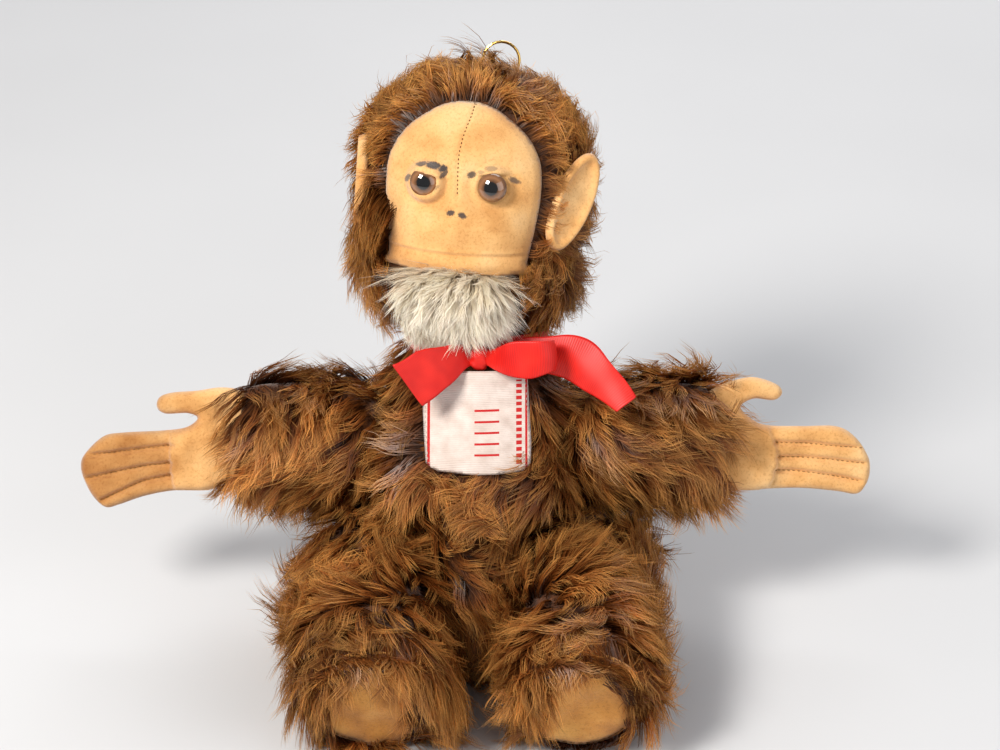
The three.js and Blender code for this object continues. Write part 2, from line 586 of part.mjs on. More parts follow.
// Governor: a small shaft with a pinion and a worm wheel, then the upright fly that the wheel spins.
const GOVERNOR_Y = -8.1;
const SMALL = { teeth: 8, root: 1.3, tip: 2.4, wide: 0.6, x0: 33.4, x1: 34.4, phase: Math.PI / 8 };
const WORM_WHEEL = { teeth: 16, root: 3.2, tip: 4.2, wide: 0.6, x0: 28.6, x1: 29.8 };
const governor = group(movement);
piece(governor, 'governor_shaft', atAxis(join(
  bar('x', 0.8, 24.8, 34.8, [0, 0, 0], 10),
  gear(SMALL), gear(WORM_WHEEL),
), GOVERNOR_Y), steel);
const FLY = { x: 29.2, y: GOVERNOR_Y - 6.1, blade: 4.2 };
piece(group(movement), 'governor_fly', join(
  bar('z', 0.6, 2.2, AXIS_Z + 5.2, [FLY.x, FLY.y, 0], 8),
  bar('z', 1.5, AXIS_Z - 3, AXIS_Z + 3, [FLY.x, FLY.y, 0], 12),
  box([2 * FLY.blade, 0.6, 5], [FLY.x, FLY.y, 8]),
), steel);
// Its frame: two posts, with an arm at the foot and one over the top that hold the fly between them.
const POSTS = [25.4, 30.6];
const FRAME_TOP = AXIS_Z + 6.2;
const postsMiddle = (POSTS[0] + POSTS[1]) / 2 + 1;
const arms = [onPlate, FRAME_TOP - 1.4].flatMap((z) => [
  box([POSTS[1] - POSTS[0] + 2, 2.4, 1.4], [postsMiddle, GOVERNOR_Y, z + 0.7]),
  box([3.4, 7.8, 1.4], [FLY.x, GOVERNOR_Y - 3.7, z + 0.7]),
]);
piece(movement, 'governor_frame', cut(
  join(
    ...POSTS.map((x) => box([2, 2.4, FRAME_TOP - onPlate], [x + 1, GOVERNOR_Y, (FRAME_TOP + onPlate) / 2])),
    ...arms,
  ),
  bar('x', 1.05, 20, 36, [0, GOVERNOR_Y, AXIS_Z], 10),
  bar('z', 0.85, onPlate + 0.4, FRAME_TOP - 0.5, [FLY.x, FLY.y, 0], 10),
), tin);

export default root;
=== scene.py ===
"""The stuffed monkey's looks: mohair, felt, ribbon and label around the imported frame.

Local frames are in millimetres: x to the monkey's left, d backwards and v up the torso, from the hip
axis. Every Blender object is in metres, in the row frame.
"""

import functools
import itertools
import json
import math

import bmesh
import bpy
import numpy as np
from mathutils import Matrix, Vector
from mathutils.geometry import delaunay_2d_cdt


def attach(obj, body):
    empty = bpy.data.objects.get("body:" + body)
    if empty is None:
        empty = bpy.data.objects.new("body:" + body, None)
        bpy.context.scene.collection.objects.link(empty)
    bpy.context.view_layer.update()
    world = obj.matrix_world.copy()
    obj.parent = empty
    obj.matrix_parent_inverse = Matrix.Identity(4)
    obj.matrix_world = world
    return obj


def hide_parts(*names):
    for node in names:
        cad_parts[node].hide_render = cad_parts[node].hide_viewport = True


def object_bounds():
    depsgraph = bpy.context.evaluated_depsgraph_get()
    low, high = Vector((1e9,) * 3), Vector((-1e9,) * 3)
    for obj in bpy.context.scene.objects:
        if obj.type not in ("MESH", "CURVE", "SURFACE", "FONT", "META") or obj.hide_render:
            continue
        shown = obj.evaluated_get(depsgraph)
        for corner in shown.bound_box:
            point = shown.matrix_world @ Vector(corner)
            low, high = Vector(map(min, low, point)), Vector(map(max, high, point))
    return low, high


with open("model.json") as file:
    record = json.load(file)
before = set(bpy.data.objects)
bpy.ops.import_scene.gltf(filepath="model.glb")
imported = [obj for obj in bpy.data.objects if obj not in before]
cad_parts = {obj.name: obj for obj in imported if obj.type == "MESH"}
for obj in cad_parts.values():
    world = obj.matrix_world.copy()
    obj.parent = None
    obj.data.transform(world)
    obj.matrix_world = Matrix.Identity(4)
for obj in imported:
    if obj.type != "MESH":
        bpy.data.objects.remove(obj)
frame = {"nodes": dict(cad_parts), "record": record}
CAD_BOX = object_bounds()

# ---------------------------------------------------------------- frames

MM = 0.001
RECLINE = math.radians(20)
HIP_Z = 31
HEAD_BASE = 106
HEAD_TURN = math.radians(-8)
HEAD_LEAN = math.radians(4)
HEAD_SIDE = -6
ARM_X, ARM_V = 54, 58
CUFF = 48
LEG_X, LEG_WIDE, LEG_LENGTH = 41, 28, 94
COLUMN = 17
SOLE_TILT = math.radians(16)
DEPTH = 0.76


def spin(points, axis, angle):
    """Points turned by the right-hand rule about X, Y or Z (axis 0, 1 or 2)."""
    points = np.asarray(points, float)
    a, b = (axis + 1) % 3, (axis + 2) % 3
    out = points.copy()
    out[..., a] = points[..., a] * math.cos(angle) - points[..., b] * math.sin(angle)
    out[..., b] = points[..., a] * math.sin(angle) + points[..., b] * math.cos(angle)
    return out


def torso(points):
    return MM * (spin(points, 0, -RECLINE) + [0, 0, HIP_Z])


def untorso(points):
    """Row frame back to the torso's frame."""
    return spin(points / MM - [0, 0, HIP_Z], 0, RECLINE)


def head(points):
    raised = np.asarray(points, float) + [HEAD_SIDE, 0, -HEAD_BASE]
    return torso(spin(spin(raised, 1, HEAD_LEAN), 2, HEAD_TURN) + [0, 0, HEAD_BASE])


def unhead(points):
    """Row frame back to the head's frame."""
    local = spin(spin(untorso(points) - [0, 0, HEAD_BASE], 2, -HEAD_TURN), 1, -HEAD_LEAN)
    return local - [HEAD_SIDE, 0, -HEAD_BASE]


def arm(side):
    return lambda points: torso(np.asarray(points, float) * [side, 1, 1] + [side * ARM_X, 0, ARM_V])


def leg(side):
    """x outwards from the thigh's middle, y forwards to the sole and z up from the hip axis."""
    return lambda points: MM * (np.asarray(points, float) * [side, -1, 1] + [side * LEG_X, 0, HIP_Z])


def direction(place, vector):
    """A local direction in the row frame, at unit length."""
    turned = place(np.asarray(vector, float)) - place(np.zeros(3))
    return turned / np.linalg.norm(turned)


# ---------------------------------------------------------------- meshes

scene = bpy.context.scene
SIDES = (("left", 1), ("right", -1))


def bell(value, width):
    """1 at 0, and less the further the value is from it."""
    return np.exp(-((value / width) ** 2))


def clamp(value):
    return np.clip(value, 0, 1)


def rise(value, low, high):
    """A smooth step from 0 at low to 1 at high."""
    share = clamp((value - low) / (high - low))
    return share * share * (3 - 2 * share)


def show(name, mesh):
    made = bpy.data.objects.new(name, mesh)
    scene.collection.objects.link(made)
    return made


def build(name, points, *groups):
    """A mesh object from points and arrays of faces, each array with its own number of corners."""
    groups = [np.asarray(g, int) for g in groups if len(g)]
    sizes = np.concatenate([np.full(len(g), g.shape[1]) for g in groups])
    corners = np.concatenate([g.ravel() for g in groups])
    mesh = bpy.data.meshes.new(name)
    mesh.vertices.add(len(points))
    mesh.vertices.foreach_set("co", np.ascontiguousarray(points, np.float32).ravel())
    mesh.loops.add(len(corners))
    mesh.loops.foreach_set("vertex_index", corners.astype(np.int32))
    mesh.polygons.add(len(sizes))
    mesh.polygons.foreach_set("loop_start", (np.cumsum(sizes) - sizes).astype(np.int32))
    mesh.polygons.foreach_set("use_smooth", np.ones(len(sizes), bool))
    mesh.update(calc_edges=True)
    return show(name, mesh)


def face_out(thing):
    """Turns a closed mesh's faces outwards."""
    work = bmesh.new()
    work.from_mesh(thing.data)
    bmesh.ops.recalc_face_normals(work, faces=work.faces)
    work.to_mesh(thing.data)
    work.free()
    return thing


def modify(thing, kind, **settings):
    """Adds a modifier and applies it."""
    made = thing.modifiers.new(kind.lower(), kind)
    for key, value in settings.items():
        setattr(made, key, value)
    bpy.context.view_layer.objects.active = thing
    bpy.ops.object.modifier_apply(modifier=made.name)
    return thing


def coords(mesh):
    flat = np.empty(len(mesh.vertices) * 3, np.float32)
    mesh.vertices.foreach_get("co", flat)
    return flat.reshape(-1, 3).astype(float)


def set_coords(mesh, points):
    mesh.vertices.foreach_set("co", np.ascontiguousarray(points, np.float32).ravel())
    mesh.update()


def lay_uv(mesh, uv):
    """Gives the mesh an OFBake layer from one place for each vertex."""
    corner = np.empty(len(mesh.loops), np.int32)
    mesh.loops.foreach_get("vertex_index", corner)
    mesh.uv_layers.new(name=UV_LAYER).data.foreach_set("uv", uv[corner].astype(np.float32).ravel())


def finish_piece(thing, body, nodes, material):
    """A piece's material, its body and the CAD nodes that it stands for."""
    thing.data.materials.clear()
    thing.data.materials.append(material)
    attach(thing, body)
    if nodes:
        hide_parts(*nodes)


def ball(levels):
    """Unit directions and triangles of an icosphere."""
    work = bmesh.new()
    bmesh.ops.create_icosphere(work, subdivisions=levels, radius=1)
    points = np.array([v.co[:] for v in work.verts])
    faces = np.array([[v.index for v in f.verts] for f in work.faces])
    work.free()
    return points, faces


def march(form, start, ways, reach):
    """Where lines from start along ways leave a form, whose value is negative inside."""
    low, high = np.zeros(len(ways)), np.full(len(ways), float(reach))
    for _ in range(22):
        middle = (low + high) / 2
        inside = form(start + ways * middle[:, None]) < 0
        low, high = np.where(inside, middle, low), np.where(inside, high, middle)
    return start + ways * low[:, None]


def front_of(form, flat, reach):
    """How far back the front of a form lies at points of x and v."""
    start = np.stack([flat[:, 0], np.zeros(len(flat)), flat[:, 1]], 1)
    return march(form, start, np.tile([0.0, -1.0, 0.0], (len(flat), 1)), reach)[:, 1]


def blob(name, form, start, reach, place):
    """A closed skin on a form that is visible all over from its start."""
    ways, faces = ball(5)
    return face_out(build(name, place(march(form, np.asarray(start, float), ways, reach)), faces))


# ---------------------------------------------------------------- forms

SKIN = 3  # the backing cloth lies this far inside the CAD's pressed pile
TORSO = (  # (radius, height)
    (2, -37), (34, -36), (51, -25), (61, 0), (64, 32), (60, 56), (50, 73), (36, 86), (28, 92), (28, 104),
)
ARM_ROOM = 26.6
ARM_SWING = math.radians(25)
LEG_ROOM = 34


def torso_form(inset):
    radii, heights = zip(*TORSO)

    def form(p):
        x, d, v = p[:, 0], p[:, 1], p[:, 2]
        body = np.hypot(x, d / DEPTH) - np.interp(v, heights, radii)
        body = np.maximum(body, np.maximum(v - heights[-1], heights[0] - v))
        swing = np.maximum(LEG_ROOM - np.hypot(d, v), np.minimum(LEG_ROOM - d, -v))
        swing = np.maximum(swing, np.minimum(-d, LEG_ROOM - v))
        legs = np.minimum(np.abs(x) - COLUMN, swing)
        out, up = np.abs(x) - ARM_X, v - ARM_V
        fan = ARM_ROOM + out * math.sin(ARM_SWING) - np.abs(up) * math.cos(ARM_SWING)
        socket = ARM_ROOM - np.hypot(out, up)
        arms = np.where(out > -8, np.maximum(fan, socket), socket)
        arms = np.minimum(arms, ARM_ROOM * 0.95 - np.abs(d))
        floor = -(v * math.cos(RECLINE) - d * math.sin(RECLINE) + HIP_Z)
        return np.maximum.reduce([body, legs, arms, floor]) + inset

    return form


def ellipsoid(p, centre, radii):
    """About the distance to an ellipsoid."""
    q = p - centre
    near, far = np.linalg.norm(q / radii, axis=1), np.linalg.norm(q / np.square(radii), axis=1)
    return near * (near - 1) / np.maximum(far, 1e-9)


def blend_min(a, b, soft):
    share = clamp(0.5 + 0.5 * (b - a) / soft)
    return b + (a - b) * share - soft * share * (1 - share)


def head_form(inset):
    def form(p):
        made = ellipsoid(p, [0, 2, 167], [47, 43, 45])
        made = blend_min(made, ellipsoid(p, [0, -1, 136], [43, 40, 34]), 6)
        made = blend_min(made, ellipsoid(p, [0, -27, 148], [28, 17, 21]), 5)
        return np.maximum(made, 108 - p[:, 2]) + inset

    return form


def leg_form(inset):
    def form(p):
        x, y, z = p[:, 0] * HIP_Z / LEG_WIDE, p[:, 1], p[:, 2]
        tube = np.hypot(x, z) - np.interp(y, [0, 26, 66], [31, 31, 29.3])
        made = np.where(y < 0, np.linalg.norm(np.stack([x, y, z], 1), axis=1) - 31, tube)
        ankle = (y - LEG_LENGTH) * math.cos(SOLE_TILT) - z * math.sin(SOLE_TILT)
        inner = COLUMN + 0.4 - LEG_X - p[:, 0]
        return np.maximum.reduce([made, ankle, inner]) + inset

    return form


def sleeve_form(inset):
    def form(p):
        x, d, v = p[:, 0], p[:, 1] / 0.92, p[:, 2]
        tube = np.hypot(d, v) - np.interp(x, [0, 20, CUFF], [24.5, 25, 23.4])
        made = np.where(x < 0, np.linalg.norm(np.stack([x, d, v], 1), axis=1) - 24.5, tube)
        return np.maximum(made, x - CUFF) + inset

    return form


# ---------------------------------------------------------------- padded skins

VOXEL = 0.005
PRESSURE = 4
SIM_FRAMES = 20
SWELL = 0.0025  # the furthest that a stuffed skin may move


def stuff(thing):
    """Remeshes a closed skin evenly and swells it by cloth simulation."""
    modify(thing, "REMESH", mode="VOXEL", voxel_size=VOXEL)
    before = coords(thing.data)
    cloth = thing.modifiers.new("cloth", "CLOTH")
    cloth.settings.use_pressure = True
    cloth.settings.uniform_pressure_force = PRESSURE
    cloth.settings.quality = 4
    cloth.settings.effector_weights.gravity = 0
    cloth.point_cache.frame_start, cloth.point_cache.frame_end = 1, SIM_FRAMES
    for step in range(1, SIM_FRAMES + 1):
        scene.frame_set(step)
    after = coords(thing.evaluated_get(bpy.context.evaluated_depsgraph_get()).data)
    thing.modifiers.remove(cloth)
    scene.frame_set(1)
    move = after - before
    far = np.linalg.norm(move, axis=1, keepdims=True)
    move *= np.minimum(1, SWELL / np.maximum(far, 1e-9))
    after = before + move
    after[:, 2] = np.maximum(after[:, 2], 0.0006)
    set_coords(thing.data, after)
    modify(thing, "SUBSURF", levels=1)
    thing.data.polygons.foreach_set("use_smooth", np.ones(len(thing.data.polygons), bool))
    return thing


# ---------------------------------------------------------------- materials


UV_LAYER = "OFBake"


class Nodes:
    """A new material's node tree, with its shader."""

    def __init__(self, name, roughness, metallic=0.0, specular=0.5, sheen=0.0, **sockets):
        self.material = bpy.data.materials.new(name)
        self.material.use_nodes = True
        self.tree = self.material.node_tree
        self.shader = self.tree.nodes["Principled BSDF"]
        self.put("Roughness", roughness)
        self.put("Metallic", metallic)
        self.put("Specular IOR Level", specular)
        self.put("Sheen Weight", sheen)
        for key, value in sockets.items():
            self.put(key.replace("_", " "), value)

    def feed(self, socket, value):
        """Links a socket to an output, or sets it to a constant."""
        if isinstance(value, bpy.types.NodeSocket):
            self.tree.links.new(value, socket)
        else:
            socket.default_value = value

    def put(self, name, value):
        self.feed(self.shader.inputs[name], value)

    def add(self, kind, inputs=(), **settings):
        node = self.tree.nodes.new("ShaderNode" + kind)
        for key, value in settings.items():
            setattr(node, key, value)
        for key, value in dict(inputs).items():
            self.feed(node.inputs[key], value)
        return node

    def place(self):
        return self.add("TexCoord").outputs["Object"]

    def uv(self):
        return self.add("UVMap", uv_map=UV_LAYER).outputs["UV"]

    def split(self, vector):
        return self.add("SeparateXYZ", {"Vector": vector}).outputs

    def noise(self, scale, detail=3.0, rough=0.5):
        inputs = {"Scale": scale, "Detail": detail, "Roughness": rough, "Vector": self.place()}
        return self.add("TexNoise", inputs).outputs["Fac"]

    def ramp(self, value, *stops):
        """A colour ramp, from (place, colour) stops."""
        node = self.add("ValToRGB", {"Fac": value})
        band = node.color_ramp
        while len(band.elements) < len(stops):
            band.elements.new(0.5)
        for element, (place, color) in zip(band.elements, stops):
            element.position = place
            element.color = (*color, 1)
        return node.outputs["Color"]

    def math(self, how, a, b=0.0):
        return self.add("Math", {0: a, 1: b}, operation=how).outputs[0]

    def most(self, values):
        """The largest of some values."""
        return functools.reduce(lambda a, b: self.math("MAXIMUM", a, b), values)

    def mix(self, share, a, b, how="MIX"):
        a, b = (value if isinstance(value, bpy.types.NodeSocket) else (*value, 1) for value in (a, b))
        return self.add("Mix", {0: share, 6: a, 7: b}, data_type="RGBA", blend_type=how).outputs[2]

    def color(self, value):
        self.put("Base Color", value)

    def bump(self, height, distance, strength=0.6, under=None):
        inputs = {"Height": height, "Distance": distance, "Strength": strength}
        if under:
            inputs["Normal"] = under
        made = self.add("Bump", inputs).outputs["Normal"]
        self.put("Normal", made)
        return made


def fur_material(name, root, middle, tip, roughness=0.38, tones=(0.3, 0.88, 1.7), through=0.45):
    """Hair whose colour follows the strand's own tone, u, and the place along it, v."""
    nodes = Nodes(name, roughness, specular=0.5)
    split = nodes.split(nodes.uv())
    # root to tip: the dark root colour is partly the mohair's own and partly painted shade deep in the coat,
    # and the golden tip colour is partly painted highlight
    along = nodes.ramp(split["Y"], (0.0, root), (0.5, middle), (1.0, tip))
    low, even, high = tones
    tone = nodes.ramp(split["X"], (0.0, (low, low * 0.85, low * 0.8)), (0.5, (even,) * 3),
                      (1.0, (high, high, high * 0.95)))
    color = nodes.mix(1.0, along, tone, "MULTIPLY")
    nodes.color(color)
    glow = nodes.add("BsdfTranslucent", {"Color": color})
    both = nodes.add("MixShader", {0: through, 1: nodes.shader.outputs[0], 2: glow.outputs[0]})
    nodes.tree.links.new(both.outputs[0], nodes.tree.nodes["Material Output"].inputs["Surface"])
    return nodes.material


def patchy_material(name, scale, detail, dark, light, *, roughness=0.9, specular=0.2, sheen=0.0, start=0.3,
                    grain=0):
    """Two colours in soft patches, on a grain of a depth in metres."""
    nodes = Nodes(name, roughness, specular=specular, sheen=sheen)
    nodes.color(nodes.ramp(nodes.noise(scale, detail), (start, dark), (0.7, light)))
    if grain:
        nodes.bump(nodes.noise(900), grain)
    return nodes.material


def pile_material(name, dark, light):
    """The close pile under the long hair."""
    return patchy_material(name, 500, 3, dark, light, specular=0.1, sheen=0.3, start=0.35, grain=0.0006)


def felt_ground(name, dark, base, light, fibre=(0.72, 0.6, 0.48), share=0.75, darker_part=None):
    """Wool felt: cloudy colour, darker flecks of fibre and a matted face.

    The pair of X values for the darker part: past the first the felt starts to darken, and by the second it
    is at its darkest."""
    nodes = Nodes(name, 0.95, specular=0.15, sheen=0.35, Sheen_Roughness=0.5)
    cloudy = nodes.ramp(nodes.noise(55, 4), (0.32, dark), (0.5, base), (0.72, light))
    if darker_part:
        # the felt darker past the first X and darkest past the second, with a ragged edge
        along = nodes.split(nodes.place())["X"]
        ragged = nodes.math("MULTIPLY", nodes.math("SUBTRACT", nodes.noise(90, 4), 0.5), 0.016)
        dark_share = nodes.add("MapRange", {"Value": nodes.math("ADD", along, ragged), "From Min": darker_part[0],
                                      "From Max": darker_part[1]}).outputs["Result"]
        cloudy = nodes.mix(nodes.math("MULTIPLY", dark_share, 0.85), cloudy, (0.6, 0.5, 0.4), "MULTIPLY")
    fleck = nodes.ramp(nodes.noise(950, 3, rough=0.7), (0.3, fibre), (0.5, (1, 1, 1)))
    coarse = nodes.bump(nodes.noise(260, 4), 0.0005, 0.5)
    nodes.bump(nodes.noise(1500, 4, rough=0.8), 0.00035, 0.8, coarse)
    return nodes, nodes.mix(share, cloudy, fleck, "MULTIPLY")


def felt_material(name, *colors, darker_part=None):
    nodes, color = felt_ground(name, *colors, darker_part=darker_part)
    nodes.color(color)
    return nodes.material


def ribbon_material():
    """Satin ribbon with fine cross ribs."""
    nodes = Nodes("red_satin", 0.4, specular=0.35, Anisotropic=0.4)
    uv = nodes.uv()
    ribs = nodes.add("TexWave", {"Vector": uv, "Scale": 22.0, "Distortion": 0.4, "Detail": 1.0},
                     bands_direction="X").outputs["Fac"]
    shade = nodes.ramp(nodes.noise(70, 2), (0.3, (0.6, 0.008, 0.006)), (0.7, (0.85, 0.024, 0.014)))
    nodes.color(nodes.mix(0.35, shade, nodes.ramp(ribs, (0.2, (0.6,) * 3), (0.8, (1, 1, 1))), "MULTIPLY"))
    nodes.bump(ribs, 0.00012, 0.5)
    return nodes.material


def label_material():
    """A woven off-white label with a plain red border and stripes."""
    nodes = Nodes("woven_label", 0.8, specular=0.2, sheen=0.15)
    uv = nodes.uv()
    u, v = nodes.split(uv)["X"], nodes.split(uv)["Y"]
    weft = nodes.add("TexWave", {"Vector": uv, "Scale": 18.0, "Distortion": 0.3}, bands_direction="Y")
    white = nodes.ramp(nodes.noise(180), (0.3, (0.66, 0.53, 0.46)), (0.7, (0.82, 0.7, 0.63)))
    white = nodes.mix(0.3, white, nodes.ramp(weft.outputs["Fac"], (0.1, (0.75,) * 3), (0.9, (1, 1, 1))),
                      "MULTIPLY")

    def band(value, low, high):
        return nodes.math("MULTIPLY", nodes.math("GREATER_THAN", value, low),
                          nodes.math("LESS_THAN", value, high))

    stripes = [band(u, low, high) for low, high in ((0.06, 0.085), (0.93, 0.95))]
    dashed = ((0.85, 0.9), (0.1, 0.9), 17, 0.62), ((0.48, 0.7), (0.12, 0.62), 10, 0.2)
    for across, along, pitch, share in dashed:
        beat = nodes.math("FRACT", nodes.math("MULTIPLY", v, pitch))
        dash = nodes.math("MULTIPLY", band(u, *across), nodes.math("LESS_THAN", beat, share))
        stripes.append(nodes.math("MULTIPLY", dash, band(v, *along)))
    nodes.color(nodes.mix(nodes.most(stripes), white, (0.55, 0.02, 0.02)))
    nodes.bump(weft.outputs["Fac"], 0.0002, 0.6)
    return nodes.material


def metal_material(name, color, darker_part, roughness):
    """Metal with fine scratches and dull patches."""
    nodes = Nodes(name, roughness, metallic=1.0)
    nodes.color(nodes.ramp(nodes.noise(120, 5), (0.35, darker_part), (0.6, color)))
    rough = nodes.ramp(nodes.noise(320, 4), (0.3, (roughness * 0.7,) * 3), (0.8, (roughness * 1.5,) * 3))
    nodes.put("Roughness", rough)
    nodes.bump(nodes.noise(1800, 3), 0.00005, 0.3)
    return nodes.material


def thread_material(name, color):
    return patchy_material(name, 2500, 2, tuple(c * 0.6 for c in color), color, roughness=0.8)


# root, middle and tip colours of each coat: the dark roots are partly painted shade deep in the coat, and the
# light tips partly painted highlight
MOHAIR = fur_material("mohair", (0.045, 0.012, 0.003), (0.35, 0.11, 0.021), (0.88, 0.46, 0.13))
HEAD_HAIR = fur_material("mohair_head", (0.05, 0.015, 0.004), (0.37, 0.128, 0.025), (0.88, 0.47, 0.13))
BEARD_HAIR = fur_material("white_mohair", (0.55, 0.42, 0.27), (0.96, 0.87, 0.7), (1.0, 0.97, 0.87), 0.5,
                          (0.75, 1.0, 1.05), 0.3)
PILE = pile_material("brown_pile", (0.05, 0.015, 0.003), (0.15, 0.048, 0.011))
WHITE_PILE = pile_material("white_pile", (0.4, 0.36, 0.3), (0.6, 0.56, 0.5))
FELT = felt_material("peach_felt", (0.62, 0.29, 0.085), (0.8, 0.43, 0.155), (0.9, 0.56, 0.25))
# the peach felt, darker beyond an X towards the right hand's fingertips
DARK_FINGER_FELT = felt_material("dark_finger_felt", (0.58, 0.27, 0.08), (0.8, 0.43, 0.155), (0.9, 0.56, 0.25),
                          darker_part=(-0.122, -0.136))
# the peach felt made darker and more orange: painted shade, for soles that lie in shade
SOLE_FELT = felt_material("sole_felt", (0.44, 0.17, 0.03), (0.7, 0.31, 0.062), (0.86, 0.46, 0.12))
THREAD = thread_material("seam_thread", (0.4, 0.2, 0.07))
DARK_THREAD = thread_material("dark_thread", (0.2, 0.08, 0.025))
LABEL_THREAD = thread_material("label_thread", (0.7, 0.62, 0.52))
SATIN = ribbon_material()
LABEL = label_material()
STEEL = metal_material("steel", (0.56, 0.56, 0.58), (0.38, 0.37, 0.36), 0.28)
BRASS = metal_material("brass", (0.75, 0.5, 0.14), (0.5, 0.3, 0.08), 0.25)
TIN = metal_material("tinplate", (0.45, 0.46, 0.47), (0.3, 0.3, 0.29), 0.42)
BOARD = patchy_material("fibreboard", 400, 5, (0.13, 0.075, 0.035), (0.3, 0.19, 0.1), grain=0.0003)
TAPE = felt_material("cotton_tape", (0.36, 0.24, 0.12), (0.5, 0.36, 0.2), (0.6, 0.45, 0.28))

# ---------------------------------------------------------------- fur

SEGMENTS = 5
LOCK = 18  # hairs in a lock
MOST_HAIRS = 21000  # in one piece
PROUD = 0.006  # how far the fur stands out of the CAD box before it is pressed back


def unit(vectors):
    return vectors / np.maximum(np.linalg.norm(vectors, axis=-1, keepdims=True), 1e-12)


def ripple(seed, pitch):
    """A smooth field of unit-sized vectors over space, whose waves are about pitch metres long."""
    random = np.random.default_rng(seed)
    ways = unit(random.normal(size=(9, 3))) * (2 * math.pi / pitch) * random.uniform(0.6, 1.5, (9, 1))
    phases = random.uniform(0, 2 * math.pi, (9, 3))
    return lambda points: sum(np.sin((points @ w)[:, None] + p) for w, p in zip(ways, phases)) / 3


def waver(field, flat):
    """One part of a field of vectors, at 2D points."""
    return field(np.column_stack([flat, np.zeros(len(flat))]))[:, 0]


def surface(thing):
    """Points, normals and triangles of a mesh."""
    mesh = thing.data
    mesh.calc_loop_triangles()
    triangles = np.empty(len(mesh.loop_triangles) * 3, np.int32)
    mesh.loop_triangles.foreach_get("vertices", triangles)
    normals = np.empty(len(mesh.vertices) * 3, np.float32)
    mesh.vertices.foreach_get("normal", normals)
    return coords(mesh), normals.reshape(-1, 3).astype(float), triangles.reshape(-1, 3)


def double_area(corners):
    return np.linalg.norm(np.cross(corners[:, 1] - corners[:, 0], corners[:, 2] - corners[:, 0]), axis=1)


def scatter(random, thing, count, weight):
    """Random roots on a mesh, thinned by a weight that is a function of place and normal."""
    points, normals, triangles = surface(thing)
    corners = points[triangles]
    middle, facing = corners.mean(1), unit(normals[triangles].sum(1))
    area = double_area(corners)
    chance = area * np.clip(weight(middle, facing), 0, None)
    picked = random.choice(len(triangles), count, p=chance / chance.sum())
    a, b = random.random((2, count))
    a, b = np.where(a + b > 1, 1 - a, a), np.where(a + b > 1, 1 - b, b)
    shares = np.stack([1 - a - b, a, b], 1)[:, :, None]
    return (corners[picked] * shares).sum(1), unit((normals[triangles[picked]] * shares).sum(1))


def puff(rim, thick, soft):
    """The half thickness of a stuffed flat piece at a distance from its rim."""
    share = clamp(rim / soft)
    return thick * np.sqrt(np.maximum(1 - (1 - share) ** 2, 0))


def pressed(points):
    """Hair that would stand far out of the CAD box, pressed half way back to it."""
    low, high = np.array(CAD_BOX[0][:]) - PROUD, np.array(CAD_BOX[1][:]) + PROUD
    return points - 0.5 * (np.maximum(points - high, 0) + np.minimum(points - low, 0))


